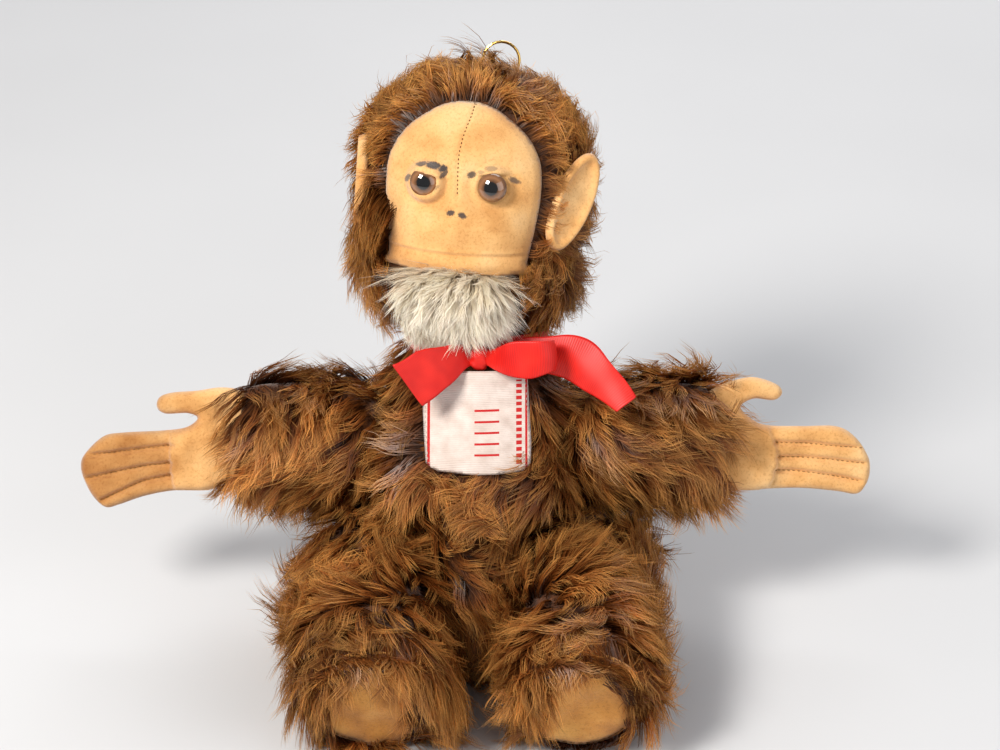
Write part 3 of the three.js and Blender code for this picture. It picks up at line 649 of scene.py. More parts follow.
def hair(name, skin, body, *, count, length, comb, seed, weight, material=MOHAIR,
         lift=(0.85, 0.06), curl=0.0014, pitch=0.021, width=0.0004, gravity=0.35, spread=0.003, clump=0.5,
         tone=0.5, swirl=0.8, bend=1.5, hold=1.0, over=None):
    """Long hair in locks on a skin, as tapered ribbons. comb gives the way that it lies at each root.

    swirl turns whole regions of the coat, and bend curves each lock over its length, in radians.
    hold is the share of its length over which a lock keeps off the skin's plane, and over moves the
    hairs clear of another piece."""
    random = np.random.default_rng(seed)
    locks = count // LOCK
    roots, normals = scatter(random, skin, locks, weight)
    wander = ripple(seed + 1, 0.075)(roots) * swirl + ripple(seed + 2, 0.03)(roots) * swirl * 0.35
    way = comb(roots, normals) + wander + random.normal(size=(locks, 3)) * 0.07
    way = unit(way - (way * normals).sum(1, keepdims=True) * normals)
    size = (length(roots) if callable(length) else length) * random.uniform(0.75, 1.15, locks)

    # the lock's own line, step by step
    down = np.array([0, 0, -1.0])
    across = np.cross(normals, way)
    phase = random.uniform(0, 2 * math.pi, locks)
    turns = size / pitch * 2 * math.pi
    amount = curl * random.uniform(0.4, 1.5, locks)
    curve = bend * (ripple(seed + 4, 0.05)(roots)[:, 0] * 1.3 + random.normal(size=locks) * 0.3)
    line = [np.zeros((locks, 3))]
    for step in range(1, SEGMENTS + 1):
        t = (step - 0.5) / SEGMENTS
        rise = lift[0] * (1 - t) ** 1.4 + lift[1] * t
        angle = (curve * t)[:, None]
        heading = way * np.cos(angle) + across * np.sin(angle) + normals * rise + down * gravity * t
        sunk = (heading * normals).sum(1, keepdims=True)
        if t < hold:
            heading = heading + normals * np.maximum(0.05 - sunk, 0)
        line.append(line[-1] + unit(heading) * (size / SEGMENTS)[:, None])
    line = np.stack(line, 1)
    for step in range(1, SEGMENTS + 1):
        t = step / SEGMENTS
        wave = phase + turns * t
        side = across * np.sin(wave)[:, None] + normals * (np.cos(wave) * 0.45)[:, None]
        line[:, step] += side * (amount * min(1, t * 1.6))[:, None]

    # the hairs of each lock draw together towards its tip
    owner = np.repeat(np.arange(locks), LOCK)
    hairs = len(owner)
    angle, radius = random.uniform(0, 2 * math.pi, hairs), spread * np.sqrt(random.random(hairs))
    offset = (way[owner] * np.cos(angle)[:, None] + across[owner] * np.sin(angle)[:, None]) * radius[:, None]
    share = random.uniform(0.72, 1.1, hairs)
    stray = random.normal(size=(hairs, 3)) * (0.0007 + 0.002 * (random.random(hairs) < 0.1))[:, None]
    steps = np.linspace(0, 1, SEGMENTS + 1)[None, :, None]
    paths = roots[owner][:, None] + line[owner] * share[:, None, None]
    paths = paths + offset[:, None] * (1 - clump * steps ** 0.8) + stray[:, None] * steps ** 1.3
    if over is not None:
        paths = over(paths, random.random((hairs, 1)))
    paths = pressed(paths)
    paths[..., 2] = np.maximum(paths[..., 2], 0.0004 + 0.0012 * random.random((hairs, 1)))

    # ribbons that face more or less outwards
    along = np.gradient(paths, axis=1)
    side = unit(np.cross(normals[owner][:, None], along))
    tilt = random.uniform(-1.1, 1.1, hairs)[:, None, None]
    side = side * np.cos(tilt) + unit(np.cross(along, side)) * np.sin(tilt)
    half = width / 2 * random.uniform(0.6, 1.25, (hairs, 1, 1)) * (1 - 0.72 * steps ** 1.5)
    left, right = (paths + side * half)[:, :-1], (paths - side * half)[:, :-1]
    points = np.concatenate([np.stack([left, right], 2).reshape(hairs, -1, 3), paths[:, -1:]], 1)
    each = 2 * SEGMENTS + 1
    quads = np.array([[2 * k, 2 * k + 1, 2 * k + 3, 2 * k + 2] for k in range(SEGMENTS - 1)])
    last = np.array([[each - 3, each - 2, each - 1]])
    shading = unit(np.cross(along, np.cross(normals[owner][:, None], along)))
    shading = unit(shading + normals[owner][:, None] * 0.7)
    shading = np.concatenate([np.repeat(shading[:, :-1], 2, 1), shading[:, -1:]], 1)
    # a hair's own tone: its lock's, a little of its own, and a slow drift over the coat
    drift = ripple(seed + 3, 0.06)(roots)[:, 0] * 0.1
    lock_tone = tone + random.normal(size=locks) * 0.13 + drift
    tones = np.clip(lock_tone[owner] + random.normal(size=hairs) * 0.12, 0.02, 0.98)
    rows = np.append(np.repeat(np.arange(SEGMENTS) / SEGMENTS, 2), 1.0)

    for part, first in enumerate(range(0, hairs, MOST_HAIRS)):
        chosen = slice(first, min(first + MOST_HAIRS, hairs))
        number = chosen.stop - chosen.start
        shift = (np.arange(number) * each)[:, None, None]
        piece = build(f"{name}_{part + 1}", points[chosen].reshape(-1, 3),
                      (quads[None] + shift).reshape(-1, 4), (last[None] + shift).reshape(-1, 3))
        lay_uv(piece.data, np.stack([np.repeat(tones[chosen], each), np.tile(rows, number)], 1))
        piece.data.normals_split_custom_set_from_vertices(shading[chosen].reshape(-1, 3))
        finish_piece(piece, body, [], material)


DOWN_TORSO = direction(torso, [0, 0, -1])
FRONT = direction(torso, [0, -1, 0])


def toward(vector):
    return lambda p, n: np.tile(vector, (len(p), 1))


def coat(density, thing):
    """A number of hairs for a skin, from hairs per square millimetre."""
    points, _, triangles = surface(thing)
    area = double_area(points[triangles])
    return int(area.sum() / 2 * 1e6 * density)


# torso
KEY_V = 53
torso_skin = stuff(blob("body_skin", torso_form(SKIN), [0, 6, 46], 120, torso))
finish_piece(torso_skin, "torso", ["body_cover", "body_stuffing"], PILE)


def near_key(q):
    """1 at the winding key and 0 away from it, at points of the torso's frame."""
    return bell(np.hypot(q[:, 0], q[:, 2] - KEY_V - 4), 15) * (q[:, 1] > 0)


def torso_weight(p, n):
    """No hair under the seat or behind the label, and little round the key."""
    q = untorso(p)
    label = (q[:, 1] < 0) & (np.abs(q[:, 0]) < 19.5) & (q[:, 2] > 55) & (q[:, 2] < 107)
    return np.where((p[:, 2] < 0.004) & (n[:, 2] < -0.5) | label, 0, 1 - 0.4 * near_key(q))


hair("body_hair", torso_skin, "torso", count=coat(1.15, torso_skin), seed=11,
     length=lambda p: 0.023 * (1 - 0.62 * near_key(untorso(p))), comb=toward(DOWN_TORSO * 1.25),
     weight=torso_weight, gravity=0.5)

# legs
SOLE_SIZE = (26.5, 29)  # half the sole's width and height
SOLE_PUFF = (2.6, 9)  # how thick it is stuffed, and how far in from its rim


def over_sole(side):
    """Keeps hair in front of a leg's felt sole."""
    cosine, sine = math.cos(SOLE_TILT), math.sin(SOLE_TILT)

    def moved(points, share):
        local = points / MM * [side, -1, 1] - [LEG_X, LEG_LENGTH, HIP_Z]
        w = local[..., 1] * sine + local[..., 2] * cosine
        far = local[..., 1] * cosine - local[..., 2] * sine
        rim = SOLE_SIZE[0] * (1 - np.hypot(local[..., 0] / SOLE_SIZE[0], w / SOLE_SIZE[1]))
        least = 2.5 + puff(rim, *SOLE_PUFF) + 1.6 * share
        push = np.where((rim > -2.5) & (far > -8), np.maximum(least - far, 0), 0)
        return points + push[..., None] * MM * np.array([0, -cosine, -sine])

    return moved


def leg_weight(p, n):
    """No hair behind the sole's felt or under the leg."""
    sole = -p[:, 1] * math.cos(SOLE_TILT) - (p[:, 2] - HIP_Z * MM) * math.sin(SOLE_TILT)
    at_sole = sole > (LEG_LENGTH - 4.5) * math.cos(SOLE_TILT) * MM
    under = (p[:, 2] < 0.005) & (n[:, 2] < -0.5)
    return np.where(at_sole & (n[:, 1] < -0.6) | under, 0, 1)


# the hair's length over each sole, and what is added to it towards the other leg
FRINGE = {"left": (0.019, 0.006), "right": (0.021, 0.016)}
for side_name, side in SIDES:
    skin = stuff(blob(f"{side_name}_leg_skin", leg_form(SKIN), [0, 36, 0], 110, leg(side)))
    finish_piece(skin, f"leg_{side_name}",
               [f"{side_name}_leg_cover", f"{side_name}_leg_stuffing"], PILE)

    def leg_comb(p, n, side=side):
        """Towards the sole, outwards on the outer side, and over the gap on the inner side."""
        outer = clamp(n[:, :1] * side)
        inner = clamp(-n[:, :1] * side)
        return np.array([0.1 * side, -1.0, -0.3]) + outer * [0.5 * side, 0.25, -0.2] + inner * [0, 0.2, 0.15]

    def leg_length(p, side=side):
        """Longer on the thigh's outer side, and towards the gap between the legs."""
        outer = clamp((p[:, 0] * side - 0.055) / 0.012)
        inner = clamp((0.024 - p[:, 0] * side) / 0.006)
        return 0.0255 + 0.009 * outer + 0.008 * inner

    hair(f"{side_name}_leg_hair", skin, f"leg_{side_name}", count=coat(1.2, skin), length=leg_length,
         seed=21 + side, comb=leg_comb, weight=leg_weight, curl=0.0016, bend=2.1, lift=(1.05, 0.12),
         over=over_sole(side))

    def fringe_weight(p, n, side=side):
        """The hem above and beside the sole, and lower down where the legs meet."""
        rim = (-p[:, 1] > (LEG_LENGTH - 9) * MM) & (n[:, 1] > -0.85)
        low = np.where(p[:, 0] * side < 0.028, 0.006, 0.03 if side < 0 else 0.036)
        return np.where(rim & (p[:, 2] > low), 1, 0)

    def fringe_comb(p, n, side=side):
        """Over the sole to the left, and into the gap between the legs."""
        return np.array([0.35, -1.0, -0.2]) + clamp(-n[:, :1] * side) * [-1.0 * side, 0.2, 0.1]

    def fringe_length(p, side=side, plain=FRINGE[side_name][0], more=FRINGE[side_name][1]):
        return plain + more * clamp((0.045 - p[:, 0] * side) / 0.02)

    hair(f"{side_name}_leg_fringe", skin, f"leg_{side_name}", count=8200, length=fringe_length,
         seed=25 + side, comb=fringe_comb, weight=fringe_weight, gravity=1.9, bend=1.0, lift=(1.1, 0.0),
         swirl=0.4, hold=0.4, over=over_sole(side))

# sleeves
for side_name, side in SIDES:
    place = arm(side)
    skin = stuff(blob(f"{side_name}_sleeve_skin", sleeve_form(SKIN), [20, 0, 0], 70, place))
    finish_piece(skin, f"arm_{side_name}",
               [f"{side_name}_sleeve", f"{side_name}_arm_stuffing"], PILE)
    outwards = direction(place, [1, 0, 0])

    def sleeve_weight(p, n, outwards=outwards):
        return np.where(n @ outwards > 0.8, 0.1, np.where(n @ outwards < -0.8, 0.3, 1))

    hair(f"{side_name}_arm_hair", skin, f"arm_{side_name}", count=coat(1.2, skin), length=0.0255,
         seed=31 + side, comb=toward(outwards * 0.55 + DOWN_TORSO * 0.85 + FRONT * 0.3), weight=sleeve_weight,
         gravity=0.9, curl=0.0016)

# ---------------------------------------------------------------- head

head_skin = stuff(blob("head_skin", head_form(SKIN), [0, 0, 155], 90, head))
finish_piece(head_skin, "head", ["head_cover", "head_stuffing"], PILE)

FACE_HEIGHTS = np.array([131.5, 137, 150, 163, 175, 183, 189, 194.5, 198.3, 200])
FACE_HALF = np.array([27.2, 28.6, 30.4, 32, 31.4, 28.2, 23.5, 16.5, 9.5, 0])
FACE_LOW = FACE_HEIGHTS[0]


def face_half(v):
    """Half the felt face's width at a height."""
    return np.interp(v, FACE_HEIGHTS, FACE_HALF)


FACE_CENTRE = head([0, -40, 166])


def by_ear(q):
    """About how far a point of the head is from an ear's seam."""
    across = np.stack([np.abs(q[:, 0]) - 41, (q[:, 1] + 19) * 1.3, (q[:, 2] - 164) * 0.72], 1)
    return np.linalg.norm(across, axis=1)


def head_weight(p, n):
    q = unhead(p)
    on_face = (q[:, 1] < -5) & (q[:, 2] > FACE_LOW - 24) & (np.abs(q[:, 0]) < face_half(q[:, 2] - 0.5))
    beard = (q[:, 1] < -8) & (q[:, 2] < FACE_LOW) & (np.abs(q[:, 0]) < 28)
    bottom = (q[:, 2] < 110) & (n @ DOWN_TORSO > 0.7)
    return np.where(on_face | beard | bottom | (by_ear(q) < 6), 0, 1)


def hairline_weight(p, n):
    """A narrow band round the top and the sides of the face."""
    q = unhead(p)
    wider = np.abs(q[:, 0]) < face_half(q[:, 2] - 3.5) + 3
    return head_weight(p, n) * (wider & (q[:, 1] < -5) & (q[:, 2] > 138))


def head_comb(p, n):
    q = unhead(p)
    away = unit(p - FACE_CENTRE)
    low = clamp((165 - q[:, 2]) / 40)[:, None]
    return away * (1.15 - 0.6 * low) + DOWN_TORSO * (0.2 + 1.1 * low)


def head_length(p):
    """Longer at the neck and the cheeks, and short round the ring and the ears."""
    q = unhead(p)
    near_ring = bell(np.linalg.norm(q - [10, 10, 208], axis=1), 14)
    near_ear = clamp((19 - by_ear(q)) / 6)
    long = 0.0175 + 0.0065 * clamp((165 - q[:, 2]) / 30)
    return long * (1 - 0.45 * near_ring) * (1 - 0.5 * near_ear)


hair("head_hair", head_skin, "head", count=coat(1.75, head_skin), length=head_length, seed=41,
     comb=head_comb, weight=head_weight, material=HEAD_HAIR, gravity=0.15, curl=0.0016,
     pitch=0.014, lift=(1.35, 0.05), swirl=0.75, tone=0.52, spread=0.0024, bend=2.3, clump=0.62)
hair("hairline", head_skin, "head", count=3200, length=0.0105, seed=44, comb=head_comb,
     weight=hairline_weight, material=HEAD_HAIR, gravity=0.0, curl=0.0008, lift=(2.6, 0.9), swirl=0.5,
     tone=0.6, bend=1.2)

# hair over the lower half of the right ear
CHEEK = np.array([-38, -25, 153])


def cheek_weight(p, n):
    return bell(np.linalg.norm(unhead(p) - CHEEK, axis=1), 8)


hair("cheek_hair", head_skin, "head", count=1100, length=0.025, seed=48, weight=cheek_weight,
     comb=toward([-0.7, -0.8, -0.6]), material=HEAD_HAIR, gravity=0.5, lift=(2.4, 0.6), swirl=0.35,
     bend=1.0, tone=0.45)

# a tuft on the crown, round the ring's foot
TUFT = head([1, 2, 209])


def tuft_weight(p, n):
    return bell(np.linalg.norm(p - TUFT, axis=1), 0.008)


hair("crown_tuft", head_skin, "head", count=180, length=0.021, seed=46, comb=toward(FRONT * 0.9),
     weight=tuft_weight, material=HEAD_HAIR, gravity=0.5, curl=0.0008, lift=(2.6, 0.1), tone=0.36,
     bend=2.2, clump=0.94, spread=0.0016)

# ---------------------------------------------------------------- filled outlines


def reaches(line):
    """How far along a line each of its points lies."""
    return np.append(0, np.cumsum(np.linalg.norm(np.diff(line, axis=0), axis=1)))


def at(wanted, reach, line):
    """A line's points at wanted places along it, where reach holds the place of each of its own points."""
    return np.stack([np.interp(wanted, reach, line[:, k]) for k in range(line.shape[1])], 1)


def smooth(points, spacing, closed=True):
    """A smooth curve through points, with even steps."""
    points = np.asarray(points, float)
    if closed:
        around = np.concatenate([points[-1:], points, points[:2]])
    else:
        around = np.concatenate([2 * points[:1] - points[1:2], points, 2 * points[-1:] - points[-2:-1]])
    t = np.linspace(0, 1, 12, endpoint=False)[:, None]
    made = []
    for a, b, c, d in zip(around, around[1:], around[2:], around[3:]):
        made.append(0.5 * (2 * b + (c - a) * t + (2 * a - 5 * b + 4 * c - d) * t**2
                           + (3 * b - a - 3 * c + d) * t**3))
    line = np.concatenate(made + [points[:1] if closed else points[-1:]])
    reach = reaches(line)
    number = max(4, round(reach[-1] / spacing))
    wanted = np.linspace(0, reach[-1], number + 1)
    wanted = wanted[:-1] if closed else wanted
    return at(wanted, reach, line)


def gap(points, line, closed=False):
    """The distance from each 2D point to a line of points."""
    a = np.asarray(line, float)
    b = np.roll(a, -1, 0) if closed else a[1:]
    a = a if closed else a[:-1]
    along = b - a
    share = ((points[:, None] - a) * along).sum(2) / np.maximum((along**2).sum(1), 1e-12)
    nearest = a + along * clamp(share)[:, :, None]
    return np.linalg.norm(points[:, None] - nearest, axis=2).min(1)


def inside(points, loop):
    """Whether each 2D point is in a closed loop."""
    x, y = points[:, :1], points[:, 1:]
    a, b = loop, np.roll(loop, -1, 0)
    crosses = (a[:, 1] > y) != (b[:, 1] > y)
    height = np.where(a[:, 1] == b[:, 1], 1e-9, b[:, 1] - a[:, 1])
    where = (b[:, 0] - a[:, 0]) * (y - a[:, 1]) / height + a[:, 0]
    return (crosses & (x < where)).sum(1) % 2 == 1


def fill(loop, spacing):
    """2D points and triangles that fill a closed loop evenly."""
    low, high = loop.min(0), loop.max(0)
    rows = np.arange(low[1], high[1], spacing * 0.87)
    grid = [(x + (i % 2) * spacing / 2, y) for i, y in enumerate(rows)
            for x in np.arange(low[0], high[0], spacing)]
    grid = np.array(grid)
    grid = grid[inside(grid, loop)]
    grid = grid[gap(grid, loop, True) > spacing * 0.55]
    points = [Vector(p) for p in np.concatenate([loop, grid])]
    edges = [(i, (i + 1) % len(loop)) for i in range(len(loop))]
    made = delaunay_2d_cdt(points, edges, [], 1, 1e-7)
    return np.array([p[:] for p in made[0]]), np.array(made[2])


def two_sided(name, loop, spacing, front, back, place):
    """A closed piece in an outline of x and v, between two faces that meet at its rim.

    front and back are functions of the 2D points and their distance from the rim."""
    flat, faces = fill(loop, spacing)
    rim = gap(flat, loop, True)
    edge = rim < 1e-4
    d_front, d_back = front(flat, rim), back(flat, rim)
    middle = (d_front + d_back) / 2
    d_front = np.where(edge, middle, d_front)
    index = np.where(edge, np.arange(len(flat)), len(flat) + np.cumsum(~edge) - 1)
    points = np.concatenate([
        np.stack([flat[:, 0], d_front, flat[:, 1]], 1),
        np.stack([flat[:, 0], d_back, flat[:, 1]], 1)[~edge],
    ])
    made = face_out(build(name, place(points), np.concatenate([faces, index[faces][:, ::-1]])))
    return made


def tubes(name, lines, radius, body, material, sides=5):
    """Closed round tubes along lines of points in metres, as one piece."""
    all_points, quads, caps, first = [], [], [], 0
    for line in lines:
        along = unit(np.gradient(line, axis=0))
        helper = np.where(np.abs(along[:, :1]) > 0.8, [[0, 1.0, 0]], [[1.0, 0, 0]])
        u = unit(np.cross(along, helper))
        w = np.cross(along, u)
        angles = np.linspace(0, 2 * math.pi, sides, endpoint=False)
        ring = u[:, None] * np.cos(angles)[:, None] + w[:, None] * np.sin(angles)[:, None]
        size = np.full(len(line), radius)
        size[[0, -1]] *= 0.55
        all_points.append((line[:, None] + ring * size[:, None, None]).reshape(-1, 3))
        for i in range(len(line) - 1):
            for k in range(sides):
                a, b = first + i * sides + k, first + i * sides + (k + 1) % sides
                quads.append((a, b, b + sides, a + sides))
        caps.append(list(range(first, first + sides))[::-1])
        end = first + (len(line) - 1) * sides
        caps.append(list(range(end, end + sides)))
        first += len(line) * sides
    made = face_out(build(name, np.concatenate(all_points), np.array(quads), np.array(caps)))
    finish_piece(made, body, [], material)


def dashes(path, every, share, hump, out):
    """Short arcs along a path in metres, like stitches, that stand out along a direction."""
    reach = reaches(path)
    made = []
    for start in np.arange(every * 0.3, reach[-1] - every * share, every):
        wanted = start + np.linspace(0, every * share, 4)
        line = at(wanted, reach, path)
        made.append(line + np.array([0, 1, 1, 0])[:, None] * hump * out)
    return made


# ---------------------------------------------------------------- hands

# Each hand's outline in mm from its shoulder, with the thumb on top, its finger seams, and the
# edge where the stuffed palm ends. The two hands were cut and sewn a little differently.
HANDS = {
    "right": {
        "outline": [
            (42, -15), (50, -20), (59.4, -24.3), (74.1, -24.6), (86.7, -27), (97.2, -30.6), (103, -31.8),
            (108, -27.5), (111.5, -21), (113.2, -14.6), (111.5, -9), (103.5, -1.4), (95.1, 0.3), (78.3, 1.2),
            (68.5, 2.6), (63.6, 6.4), (67.8, 8.6), (77, 8.4), (80.6, 11), (79.6, 15.3), (74, 17.4),
            (63.6, 18.2), (54, 19.6), (46, 18.5), (42, 14),
        ],
        "seams": [
            [(74, -4.6), (83.3, -5.6), (99.3, -7.8), (109.5, -8.8)],
            [(75, -12.2), (86, -13.6), (99.3, -16.3), (111, -19)],
            [(74.9, -17.6), (86.7, -20.1), (98.5, -25.3), (104, -28)],
        ],
        "palm": [(75, 2), (75.4, -6.1), (74.9, -16.7), (73.3, -25)],
    },
    "left": {
        "outline": [
            (42, -16), (50, -22.5), (58, -24.6), (69.1, -23.8), (82.5, -23.5), (97.2, -24.8), (106, -26),
            (110, -21.8), (111.5, -15.9), (110.4, -9.6), (105, -1.6), (97, 3), (82.5, 3.1), (67, 3.6),
            (60, 7.2), (56.6, 11.4), (62, 14.8), (70.5, 14.2), (74, 17.2), (71.5, 21), (62, 24), (53, 22.4),
            (46, 19.5), (42, 14),
        ],
        "seams": [
            [(71, -3.4), (84.6, -3.9), (99.3, -5.2), (109.5, -6)],
            [(72, -9.5), (90.9, -10.3), (101.4, -11.6), (110.6, -12.5)],
            [(71, -15.2), (82.5, -15.9), (95.1, -17.6), (107, -20)],
        ],
        "palm": [(68.5, 3), (72, -6.1), (71.6, -14.6), (68, -24)],
    },
}
FINGER_HALF, PALM_HALF = 4.3, 7.6

for side_name, side in SIDES:
    hand, place = HANDS[side_name], arm(side)
    loop = smooth(hand["outline"], 1.0)
    seams = [smooth(line, 1.5, closed=False) for line in hand["seams"]]
    palm_line = smooth(hand["palm"], 2.0, closed=False)
    wrinkle = ripple(60 + side, 14)

    def half(flat, rim, seams=seams, palm_line=palm_line):
        palm_edge = np.interp(flat[:, 1], palm_line[::-1, 1], palm_line[::-1, 0])
        on_palm = rise((palm_edge - flat[:, 0]) / 1.6 + 0.5, 0, 1) * (flat[:, 1] < 6)
        made = puff(rim, FINGER_HALF, 3.6)
        made = made + on_palm * puff(rim, PALM_HALF - FINGER_HALF, 9)
        for line in seams:
            made = made - 2.5 * bell(gap(flat, line), 1.0) * clamp(rim / 2.5)
        crease = gap(flat, palm_line)
        made = made - 0.8 * bell(crease, 0.8) * clamp(rim / 2)
        return np.maximum(made, 0.3 * clamp(rim))

    def relief(flat, amount, wrinkle=wrinkle):
        return waver(wrinkle, flat * [1, 0.7]) * amount

    piece = two_sided(
        f"{side_name}_felt_hand", loop, 0.95,
        lambda f, r: -half(f, r) + relief(f, 0.35) * clamp(r / 3),
        lambda f, r: half(f, r) * 0.9 + relief(f, 0.3) * clamp(r / 3),
        place,
    )
    finish_piece(piece, f"arm_{side_name}", [f"{side_name}_hand"],
                 DARK_FINGER_FELT if side < 0 else FELT)

    lines = []
    for line, face in itertools.product(seams, (-1, 1)):
        rim_here = gap(line, loop, True)
        depth = half(line, rim_here) * (1 if face < 0 else 0.9) + 0.1
        path = place(np.stack([line[:, 0], face * depth + relief(line, 0.3), line[:, 1]], 1))
        lines += dashes(path, 0.0021, 0.62, 0.0003, direction(place, [0, face, 0]))
    tubes(f"{side_name}_hand_seams", lines, 0.00022, f"arm_{side_name}", THREAD)

# ---------------------------------------------------------------- soles

for side_name, side in SIDES:
    place = leg(side)
    angles = np.linspace(0, 2 * math.pi, 40, endpoint=False)
    # the sole in its own plane: x outwards and w up along the tilted sole
    loop = smooth(np.stack([np.cos(angles), np.sin(angles)], 1) * SOLE_SIZE, 1.2)
    inner = COLUMN + 1.4 - LEG_X
    loop[:, 0] = np.maximum(loop[:, 0], inner)

    def on_sole(points, place=place):
        """x, the depth past the sole's plane and w to the leg's frame."""
        x, far, w = points[:, 0], points[:, 1], points[:, 2]
        y = LEG_LENGTH + w * math.sin(SOLE_TILT) + far * math.cos(SOLE_TILT)
        z = w * math.cos(SOLE_TILT) - far * math.sin(SOLE_TILT)
        return place(np.stack([x, y, z], 1))

    bumps = ripple(70 + side, 22)

    def sole_front(flat, rim, bumps=bumps):
        dents = waver(bumps, flat) * 0.5
        sewn = 0.7 * bell(rim - 2.6, 0.8)
        return 1.0 + puff(rim, *SOLE_PUFF) + (dents - sewn) * clamp(rim)

    piece = two_sided(f"{side_name}_felt_sole", loop, 1.2, sole_front,
                      lambda f, r: np.full(len(f), -0.8), on_sole)
    finish_piece(piece, f"leg_{side_name}", [f"{side_name}_sole"], SOLE_FELT)
    seam = loop * 0.92
    seam = np.concatenate([seam, seam[:1]])
    far = sole_front(seam, gap(seam, loop, True)) + 0.12
    path = on_sole(np.stack([seam[:, 0], far, seam[:, 1]], 1))
    tubes(f"{side_name}_sole_seam", dashes(path, 0.0032, 0.6, 0.0002, np.array([0, -1, 0])), 0.00022,
          f"leg_{side_name}", THREAD)

# ---------------------------------------------------------------- ears

EAR_AT = (43.5, -17.5, 161.5)
EAR_LEAN = 0.24
EAR_OPEN = {"left": 0.65, "right": 1.4}

for side_name, side in SIDES:
    def on_ear(points, side=side, opened=EAR_OPEN[side_name]):
        """The ear's own x outwards, d through it and v up it, to the row frame."""
        q = spin(np.asarray(points, float) * [side, 1, 1], 1, side * EAR_LEAN)
        q = spin(q, 2, side * opened)
        return head(q + [side * EAR_AT[0], EAR_AT[1], EAR_AT[2]])

    loop = smooth([(-7.6, -15), (-8.6, -4), (-7, 9), (-1.5, 19), (4.5, 21.2), (9, 16), (10.6, 5),
                   (8.6, -8), (3.4, -18.5), (-2.5, -20.6)], 0.9)

    def ear_front(flat, rim):
        """A thick rolled rim round a shallow hollow."""
        roll = 1.6 * bell(rim - 1.9, 1.7)
        hollow = 0.4 * clamp((rim - 3) / 4)
        return -(puff(rim, 1.0, 1.6) + roll * clamp(rim / 1.2)) + hollow

    piece = two_sided(
        f"{side_name}_felt_ear", loop, 0.9, ear_front,
        lambda f, r: puff(r, 2.2, 3.2) + 0.9 * clamp((r - 3) / 4), on_ear)
    finish_piece(piece, "head", [f"{side_name}_ear"], FELT)

# ---------------------------------------------------------------- face

EYE_X, EYE_V, EYE_D = 13.8, 167.5, -40.4
EYE_RADII = (6.1, 3.9, 6.1)
# for each eye: its x, how far its lid stands out, the lid's slope and where it starts above the middle,
# and how far the ring round the eye stands out and where it starts
LIDS = (-EYE_X, 5.4, 0.16, 2.9, 3.9, 4.5), (EYE_X, 3.2, -0.1, 4.6, 0.8, 6.1)
edge = np.stack([FACE_HALF, FACE_HEIGHTS], 1)
face_loop = smooth(np.concatenate([edge, edge[-2::-1] * [-1, 1]]), 1.0)
seam_line = smooth([(2.6, 200), (2.1, 195), (0.3, 188), (-0.8, 180), (-0.6, 172), (0, 163)], 1.0, False)


def on_head(flat, inset):
    return front_of(head_form(inset), flat, 70)


def face_front(flat, rim):
    x, v = flat[:, 0], flat[:, 1]
    out = 0.9 * bell(x, 5) * rise(v, 140, 150) * (1 - rise(v, 162, 172))
    # the forehead seam, the mouth's crease with its hem, and the chin's roll
    seam = gap(flat, seam_line)
    out = out - 0.75 * bell(seam, 0.75) + 0.3 * bell(seam, 3)
    out = out - 0.7 * bell(v - 138.9 - 0.0012 * x**2, 0.7)
    out = out + 0.55 * bell(v - 140.2 - 0.0012 * x**2, 0.8)
    out = out + 1.3 * bell(v - 135, 3)
    # nostrils, a little pressed in
    for nostril in ((-1.9, 156.2), (2.8, 155.5)):
        out = out - 0.5 * bell(np.hypot(x - nostril[0], v - nostril[1]), 1.2)
    # sockets and eyelids
    for eye, lid, slope, top, ring, reach in LIDS:
        a, b = x - eye, v - EYE_V
        far = np.hypot(a, b)
        out = out - 0.9 * bell(far - 8.6, 2.6)
        over = np.maximum(lid * rise(b + slope * a, top, top + 1.0), ring * rise(far, reach, reach + 0.7))
        out = out + over * (1 - rise(far, 6.4, 9.6))
    edge_tuck = 1.6 * (1 - rise(rim, 0, 2.6)) * np.maximum(v > 133.5, np.abs(x) > 23)
    return on_head(flat, 0.3) - out + edge_tuck


face = two_sided(
    "felt_face", face_loop, 0.8, face_front,
    lambda f, r: on_head(f, 2.4) + 1.2 * (1 - rise(r, 0, 2.6)), head)
FACE_UV_LOW, FACE_UV_SIZE = np.array([-40.0, 125.0]), 80.0


